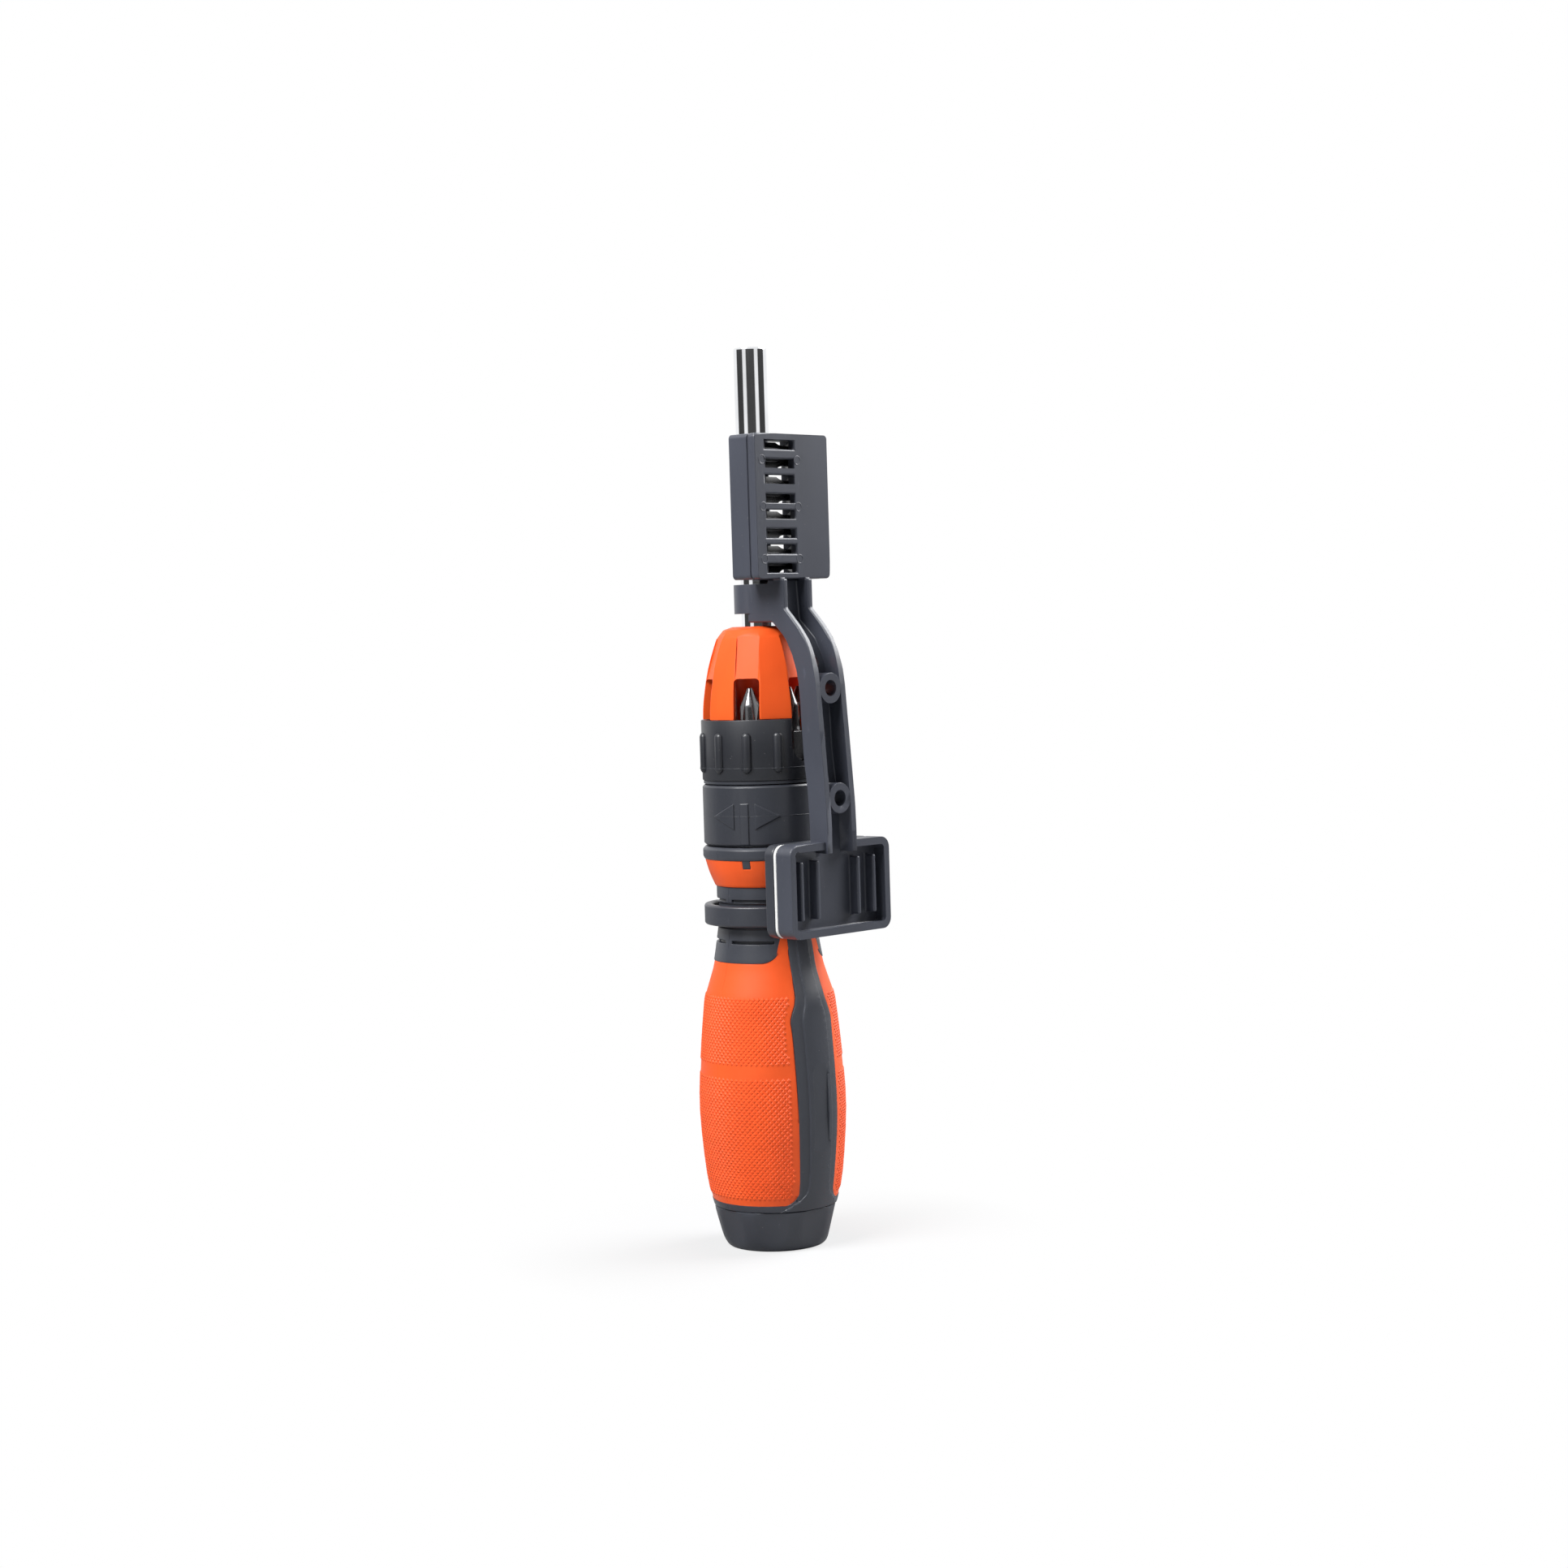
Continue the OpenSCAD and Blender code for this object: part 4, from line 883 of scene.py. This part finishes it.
class SCREWDRIVER_OT_grips(bpy.types.Operator):
    """Round the soft grip panels and set their rows of studs"""

    bl_idname = "screwdriver.grips"
    bl_label = "Grip panels"

    def execute(self, context):
        looks = context.scene.driver_handle
        facing_out, cast_radius = 0.25, 32 * MM
        tree = knurl_tree()
        for node in ("grip_left", "grip_right"):
            work = node_copy(node)
            work.normal_update()
            for vert in work.verts:
                out = Vector((vert.co.x, vert.co.y, 0.0)).normalized()
                if vert.normal.dot(out) > facing_out:
                    vert.co -= out * looks.knurl_lift
            piece = new_piece(to_mesh(work, node + "_finished"), "orange_grip")
            round_edges(piece, looks.seam_radius, segments=3)
            even_normals(piece, angle=40.0)
            grow(piece, tree, {
                "Columns": looks.knurl_columns,
                "Rows": int((looks.upper_band_to - looks.lower_band_from) / looks.knurl_row) + 1,
                "Row spacing": looks.knurl_row,
                "First row": looks.lower_band_from,
                "Cast radius": cast_radius,
                "Margin": looks.knurl_margin,
                "Stud width": looks.knurl_width,
                "Stud height": looks.knurl_lift,
                "Lower band to": looks.lower_band_to,
                "Upper band from": looks.upper_band_from,
            })
            seat(piece, node)
        return {"FINISHED"}


class SCREWDRIVER_OT_head(bpy.types.Operator):
    """Round the edges of the selector and of the nose"""

    bl_idname = "screwdriver.head"
    bl_label = "Selector and nose"

    def execute(self, context):
        looks = context.scene.driver_head
        nose_share = 1.8
        moulding("selector_collar", looks.edge_radius)
        moulding("nose", looks.edge_radius * nose_share)
        return {"FINISHED"}


class SCREWDRIVER_OT_bit_ring(bpy.types.Operator):
    """Turn the bit ring, cut its slot and set its ribs"""

    bl_idname = "screwdriver.bit_ring"
    bl_label = "Bit ring"

    def execute(self, context):
        looks = context.scene.driver_head
        low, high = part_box("bit_ring")
        outer, inner = looks.ring_radius, looks.ring_radius - looks.ring_wall
        turn_steps, bend_steps, edge_share, cut_shares = 120, 24, 1.5, (0.6, 1.4)
        rows = [(inner, low.z), (outer, low.z), (outer, high.z), (inner, high.z), (inner, low.z)]
        piece = new_piece(lathe("bit_ring_finished", rows, turn_steps), "bit_ring")

        half = looks.slot_width / 2
        bend = high.z - looks.slot_depth + half
        angles = [pi * k / bend_steps for k in range(bend_steps + 1)]
        outline = [(half, high.z + half), (-half, high.z + half)]
        outline += [(-half * cos(a), bend - half * sin(a)) for a in angles]
        cut = bmesh.new()
        near, far = (
            [cut.verts.new((outer * share, y, z)) for y, z in outline] for share in cut_shares
        )
        cut.faces.new(near)
        cut.faces.new(list(reversed(far)))
        for k in range(len(outline)):
            cut.faces.new((near[k], near[k - 1], far[k - 1], far[k]))
        bmesh.ops.recalc_face_normals(cut, faces=cut.faces)
        cutter = new_piece(to_mesh(cut, "slot_cutter"), "bit_ring")
        slot = piece.modifiers.new("slot", "BOOLEAN")
        slot.operation, slot.solver, slot.object = "DIFFERENCE", "EXACT", cutter
        settle(piece)
        bpy.data.objects.remove(cutter)

        round_edges(piece, looks.edge_radius * edge_share, angle=40.0)
        shade(piece)
        grow(piece, rib_tree(), {
            "Places": looks.rib_count,
            "Rib width": looks.rib_width,
            "Rib height": looks.rib_height,
            "Rib lift": looks.rib_lift,
            "Foot": low.z + looks.rib_foot,
            "Ring radius": outer,
        })
        seat(shade(piece), "bit_ring")
        return {"FINISHED"}


class SCREWDRIVER_OT_shaft(bpy.types.Operator):
    """Turn the plated shaft with its hex socket"""

    bl_idname = "screwdriver.shaft"
    bl_label = "Shaft"

    def execute(self, context):
        low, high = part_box("shaft")
        floor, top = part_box("bit_magnet")
        clip_low, clip_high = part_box("retaining_ring")
        radius, flats, turn_steps = high.x, 3.275 * MM, 120
        groove, chamfer, lead_in, flare = radius - 0.8 * MM, 0.6 * MM, 0.4 * MM, 1.09
        # A row below the rim keeps its round from tilting the shading of the long flank.
        rim_round = ((0.0, 0.6), (0.0, 0.3), (0.1, 0.1), (0.3, 0.0))

        def hexagon(share):
            def at(bearing):
                away = (bearing + pi / 6) % (pi / 3) - pi / 6
                return flats * share / cos(away)
            return at

        rows = [(0, low.z), (radius - chamfer, low.z), (radius, low.z + chamfer)]
        rows += [(radius, clip_low.z), (groove, clip_low.z)]
        rows += [(groove, clip_high.z), (radius, clip_high.z)]
        rows += [(radius - inset * MM, high.z - drop * MM) for inset, drop in rim_round]
        rows += [(hexagon(flare), high.z), (hexagon(1.0), high.z - lead_in), (hexagon(1.0), top.z)]
        rows += [(top.x, top.z), (top.x, floor.z), (0, floor.z)]
        piece = new_piece(lathe("shaft_finished", rows, turn_steps), "chrome")
        seat(shade(piece, angle=28.0), "shaft")
        return {"FINISHED"}


class SCREWDRIVER_OT_bits(bpy.types.Operator):
    """Round the edges of the stored bits"""

    bl_idname = "screwdriver.bits"
    bl_label = "Bits"

    def execute(self, context):
        for node in sorted(frame["nodes"]):
            if node.startswith(("stored_bit", "tray_bit")):
                moulding(node, context.scene.driver_metal.bit_edge, angle=25.0)
        return {"FINISHED"}


def groove_tray(work):
    """Cuts a groove round the tray where it meets the back plate."""
    low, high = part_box("bit_tray")
    middle, reach = (low + high) / 2, (high - low) / 2
    depth, wall, wide, slope, touch = 0.5 * MM, 0.7 * MM, 0.55 * MM, 0.08 * MM, 1e-7
    for at in (high.x - wide - slope, high.x - wide):
        bmesh.ops.bisect_plane(
            work, geom=work.verts[:] + work.edges[:] + work.faces[:],
            plane_co=(at, 0, 0), plane_no=(1, 0, 0), dist=touch,
        )
    for vert in work.verts:
        off = vert.co - middle
        outside = abs(off.y) > reach.y - wall or abs(off.z) > reach.z - wall
        if outside and vert.co.x > high.x - wide - slope / 2:
            vert.co.y -= off.y * depth / reach.y
            vert.co.z -= off.z * depth / reach.z


def fill_cheeks(work):
    """Brings the cheeks of the shaft clip round its sleeve, with a fine line left between them."""
    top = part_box("bit_tray")[0].z
    flat, round_r, cuts, touch = 7.4 * MM, 6.7 * MM, 17, 1e-6
    lowest, highest, least_length = top - 6 * MM, top - 1 * MM, 1 * MM

    def on_cheek(vert):
        return abs(vert.co.x - flat) < touch and lowest < vert.co.z < highest

    edges = [e for e in work.edges if all(on_cheek(v) for v in e.verts)]
    across = [e for e in edges if abs(e.verts[0].co.y - e.verts[1].co.y) > least_length]
    bmesh.ops.subdivide_edges(work, edges=across, cuts=cuts)
    for vert in work.verts:
        if on_cheek(vert):
            vert.co.x = sqrt(round_r ** 2 - vert.co.y ** 2)


class SCREWDRIVER_OT_holder(bpy.types.Operator):
    """Round the edges of the bracket, the tray and the clip, and set the ejector marks"""

    bl_idname = "screwdriver.holder"
    bl_label = "Wall holder"

    def execute(self, context):
        looks = context.scene.driver_holder
        radius, tray_share, clip_share = looks.edge_radius, 0.9, 1.3
        moulding("bracket", radius, segments=3, rework=fill_cheeks)
        moulding("bit_tray", radius * tray_share, segments=3, rework=groove_tray)
        clip = moulding("neck_clip", radius * clip_share, segments=3)
        # The clip gets its own finish, whose darker colour is painted shade.
        clip.data.materials[0] = FINISH["neck_clip"]
        back, columns, rows = 14.44 * MM, (-11.3, 2.2), (214.3, 201.8, 187.8)
        spots = [(back, y * MM, z * MM) for y in columns for z in rows]
        sizes = {"Radius": looks.mark_radius, "Bead": looks.mark_bead}
        marks = grow_on_points(
            "ejector_marks", spots, [], "holder_plastic", mark_tree(), sizes, angle=30.0
        )
        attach(marks, "holder")
        return {"FINISHED"}


class SCREWDRIVER_OT_foam(bpy.types.Operator):
    """Round the foam pad"""

    bl_idname = "screwdriver.foam"
    bl_label = "Foam pad"

    def execute(self, context):
        pad_share = 0.5
        piece = moulding("foam_pad", context.scene.driver_holder.edge_radius * pad_share)
        return {"FINISHED"}


class SCREWDRIVER_OT_mould_lines(bpy.types.Operator):
    """Draw the lines that the halves of the moulds leave"""

    bl_idname = "screwdriver.mould_lines"
    bl_label = "Mould lines"

    def execute(self, context):
        looks = context.scene.driver_handle
        radius, border = looks.mould_line, 0.6 * MM
        grip_steps, core_steps, ring_steps = 60, 12, 240
        deep, shallow, ring_share = radius * 0.3, radius * 0.2, 0.9
        core_runs = {
            "base": (11.9, 13.0), "pad": (83.0, 87.2),
            "neck": (95.4, 99.3), "flange": (107.6, 110.0),
        }
        ring_heights = {"selector_collar": 119.0, "bit_ring": 131.9}
        tree = line_tree()
        core = Skin("handle_core", "index_band")
        for side, word in ((-1, "left"), (1, "right")):
            grip = "grip_" + word
            bearing = looks.bearing + side * pi / 2
            low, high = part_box(grip)
            path = Skin(grip).up(bearing, low.z + border, high.z - border, grip_steps)
            path = [sunk(p, deep + looks.knurl_lift) for p in path]
            mould_line(grip + "_mould_line", path, tree, "handle", "orange_grip", radius)
            for name, (start, end) in core_runs.items():
                path = core.up(bearing, start * MM, end * MM, core_steps)
                path = [sunk(p, shallow) for p in path]
                mould_line(f"{name}_mould_line_{word}", path, tree, "handle", "dark_plastic", radius)
        for node, height in ring_heights.items():
            skin = Skin(node)
            path = [skin.at(2 * pi * k / ring_steps, height * MM) for k in range(ring_steps)]
            path = [sunk(p, deep) for p in path]
            name, body = node + "_mould_line", BODY_OF[node]
            mould_line(name, path, tree, body, "black_plastic", radius * ring_share, closed=True)
        return {"FINISHED"}


# Stage

FLOOR_HALF = 1.6
# Distances from the axis between which the floor turns plain white in the picture.
FADE_FROM, FADE_TO = 20 * MM, 80 * MM
# Sides of the light tent that reflections show: place from the back to the camera, brightness.
TENT_SIDES = (
    (0.0, 1.0), (0.34, 1.0), (0.38, 0.05), (0.77, 0.05), (0.80, 0.95), (0.92, 0.95), (0.945, 0.06),
)
# Rise of a ray between which the tent's sides turn into its white roof.
ROOF_FROM, ROOF_TO = 0.1, 0.3
# Soft boxes: width, then place from the middle towards the camera, to its right and up.
SOFT_BOXES = {"key": (0.53, (0.41, -0.45, 0.67)), "fill": (0.76, (-0.26, 0.68, 0.59))}
MIDDLE = UP * 0.12
SENSOR, CLIP_FROM, CLIP_TO = 36.0, 0.05, 20.0


def white_paper():
    """Paper that the camera sees fade to white, and that lights the object as plain grey paper."""
    pulp_size, glow = 60 * MM, 0.7
    shown_low, shown_high = (0.150, 0.151, 0.155, 1.0), (0.154, 0.155, 0.159, 1.0)
    lit_low, lit_high = (0.34, 0.345, 0.35, 1.0), (0.35, 0.355, 0.36, 1.0)
    net = Finish("white paper")
    net.tree.nodes.remove(net.tree.nodes["Principled BSDF"])
    pulp = net.grain(pulp_size)

    def diffuse(low, high):
        return net.wire("ShaderNodeBsdfDiffuse", {"Color": net.mix(pulp, low, high)})

    def emission(strength):
        return net.wire("ShaderNodeEmission", {"Color": WHITE, "Strength": strength})

    near = net.wire("ShaderNodeAddShader", {0: diffuse(shown_low, shown_high), 1: emission(glow)})
    away = net.put("ShaderNodeVectorMath", {0: net.place}, operation="LENGTH").outputs["Value"]
    fade = net.spread(away, 0.0, 1.0, start=FADE_FROM, end=FADE_TO)
    seen = net.wire("ShaderNodeMixShader", {0: fade, 1: near, 2: emission(1.0)})
    camera_ray = net.put("ShaderNodeLightPath").outputs["Is Camera Ray"]
    surface = {0: camera_ray, 1: diffuse(lit_low, lit_high), 2: seen}
    output = net.tree.nodes["Material Output"]
    net.plug(output, {"Surface": net.wire("ShaderNodeMixShader", surface)})
    return net.material


def light_tent(world, looks, ahead):
    """World: white to the camera, a light tent to reflections and an even sky to the rest."""
    world.use_nodes = True
    net = Net(world.node_tree)
    net.tree.nodes.clear()
    ray = net.put("ShaderNodeTexCoord").outputs["Generated"]
    along = {0: ray, 1: tuple(ahead)}
    facing = net.put("ShaderNodeVectorMath", along, operation="DOT_PRODUCT").outputs["Value"]
    share = net.wire("ShaderNodeMapRange", {"Value": facing, "From Min": -1.0})
    ramp = net.put("ShaderNodeValToRGB", {0: share})
    stops = ramp.color_ramp.elements
    stops.remove(stops[1])
    for at, level in TENT_SIDES:
        stop = stops[0] if at == 0 else stops.new(at)
        stop.color = (level, level, level, 1.0)
    rise = net.put("ShaderNodeSeparateXYZ", {0: ray}).outputs["Z"]
    roof = net.spread(rise, 0.0, 1.0, start=ROOF_FROM, end=ROOF_TO)

    def background(colour, strength):
        return net.wire("ShaderNodeBackground", {"Color": colour, "Strength": strength})

    path = net.put("ShaderNodeLightPath").outputs
    sky = background((0.98, 0.99, 1.0, 1.0), looks.sky)
    tent = background(net.mix(roof, ramp.outputs[0], WHITE), looks.tent)
    unseen = net.wire("ShaderNodeMixShader", {0: path["Is Glossy Ray"], 1: sky, 2: tent})
    surface = {0: path["Is Camera Ray"], 1: unseen, 2: background(WHITE, 1.0)}
    net.put("ShaderNodeOutputWorld", {"Surface": net.wire("ShaderNodeMixShader", surface)})


class SCREWDRIVER_OT_stage(bpy.types.Operator):
    """Set the floor, the light and the camera"""

    bl_idname = "screwdriver.stage"
    bl_label = "Stage"

    def execute(self, context):
        scene = context.scene
        looks = scene.driver_stage
        scene.view_settings.view_transform = "Standard"
        ahead = Vector((sin(looks.yaw), -cos(looks.yaw), 0.0))
        side = Vector((cos(looks.yaw), sin(looks.yaw), 0.0))

        def link(name, data):
            thing = bpy.data.objects.new(name, data)
            scene.collection.objects.link(thing)
            return thing

        mesh = bpy.data.meshes.new("floor")
        around = (-1, -1), (1, -1), (1, 1), (-1, 1)
        mesh.from_pydata([(x * FLOOR_HALF, y * FLOOR_HALF, 0) for x, y in around], [], [(0, 1, 2, 3)])
        mesh.materials.append(white_paper())
        floor = link("floor", mesh)

        scene.world = scene.world or bpy.data.worlds.new("studio")
        light_tent(scene.world, looks, ahead)
        for name, (width, (near, right, high)) in SOFT_BOXES.items():
            lamp = bpy.data.lights.new(name, "AREA")
            lamp.shape, lamp.size, lamp.energy = "DISK", width, getattr(looks, name)
            light = link(name, lamp)
            light.visible_camera = False
            toward = ahead * near + side * right + UP * high
            light.location = MIDDLE + toward
            light.rotation_euler = toward.to_track_quat("Z", "Y").to_euler()

        lens = bpy.data.cameras.new("camera")
        lens.lens, lens.sensor_width = looks.lens, SENSOR
        lens.clip_start, lens.clip_end = CLIP_FROM, CLIP_TO
        camera = link("camera", lens)
        place = Matrix.Translation(looks.position)
        for angle, axis in ((looks.yaw, "Z"), (pi / 2 - looks.pitch, "X"), (looks.roll, "Z")):
            place = place @ Matrix.Rotation(angle, 4, axis)
        camera.matrix_world = place
        scene.camera = camera
        return {"FINISHED"}


STEPS = (
    SCREWDRIVER_OT_finishes, SCREWDRIVER_OT_end_cap, SCREWDRIVER_OT_core, SCREWDRIVER_OT_grips,
    SCREWDRIVER_OT_head, SCREWDRIVER_OT_bit_ring, SCREWDRIVER_OT_shaft, SCREWDRIVER_OT_bits,
    SCREWDRIVER_OT_holder, SCREWDRIVER_OT_foam, SCREWDRIVER_OT_mould_lines, SCREWDRIVER_OT_stage,
)
LOOKS = {
    "driver_handle": HandleLooks, "driver_head": HeadLooks, "driver_metal": MetalLooks,
    "driver_holder": HolderLooks, "driver_stage": StageLooks,
}


class SCREWDRIVER_PT_looks(bpy.types.Panel):
    """Sidebar with the steps in order"""

    bl_idname = "SCREWDRIVER_PT_looks"
    bl_label = "Screwdriver looks"
    bl_space_type = "VIEW_3D"
    bl_region_type = "UI"
    bl_category = "Screwdriver"

    def draw(self, context):
        for step in STEPS:
            self.layout.operator(step.bl_idname)


def register():
    for name, group in LOOKS.items():
        bpy.utils.register_class(group)
        setattr(bpy.types.Scene, name, PointerProperty(type=group))
    for step in STEPS:
        bpy.utils.register_class(step)
    bpy.utils.register_class(SCREWDRIVER_PT_looks)


def unregister():
    bpy.utils.unregister_class(SCREWDRIVER_PT_looks)
    for step in reversed(STEPS):
        bpy.utils.unregister_class(step)
    for name, group in reversed(list(LOOKS.items())):
        delattr(bpy.types.Scene, name)
        bpy.utils.unregister_class(group)


def main():
    register()
    bpy.ops.screwdriver.finishes()
    bpy.ops.screwdriver.end_cap()
    bpy.ops.screwdriver.core()
    bpy.ops.screwdriver.grips()
    bpy.ops.screwdriver.head()
    bpy.ops.screwdriver.bit_ring()
    bpy.ops.screwdriver.shaft()
    bpy.ops.screwdriver.bits()
    bpy.ops.screwdriver.holder()
    bpy.ops.screwdriver.foam()
    bpy.ops.screwdriver.mould_lines()
    bpy.ops.screwdriver.stage()


if __name__ == "__main__":
    main()
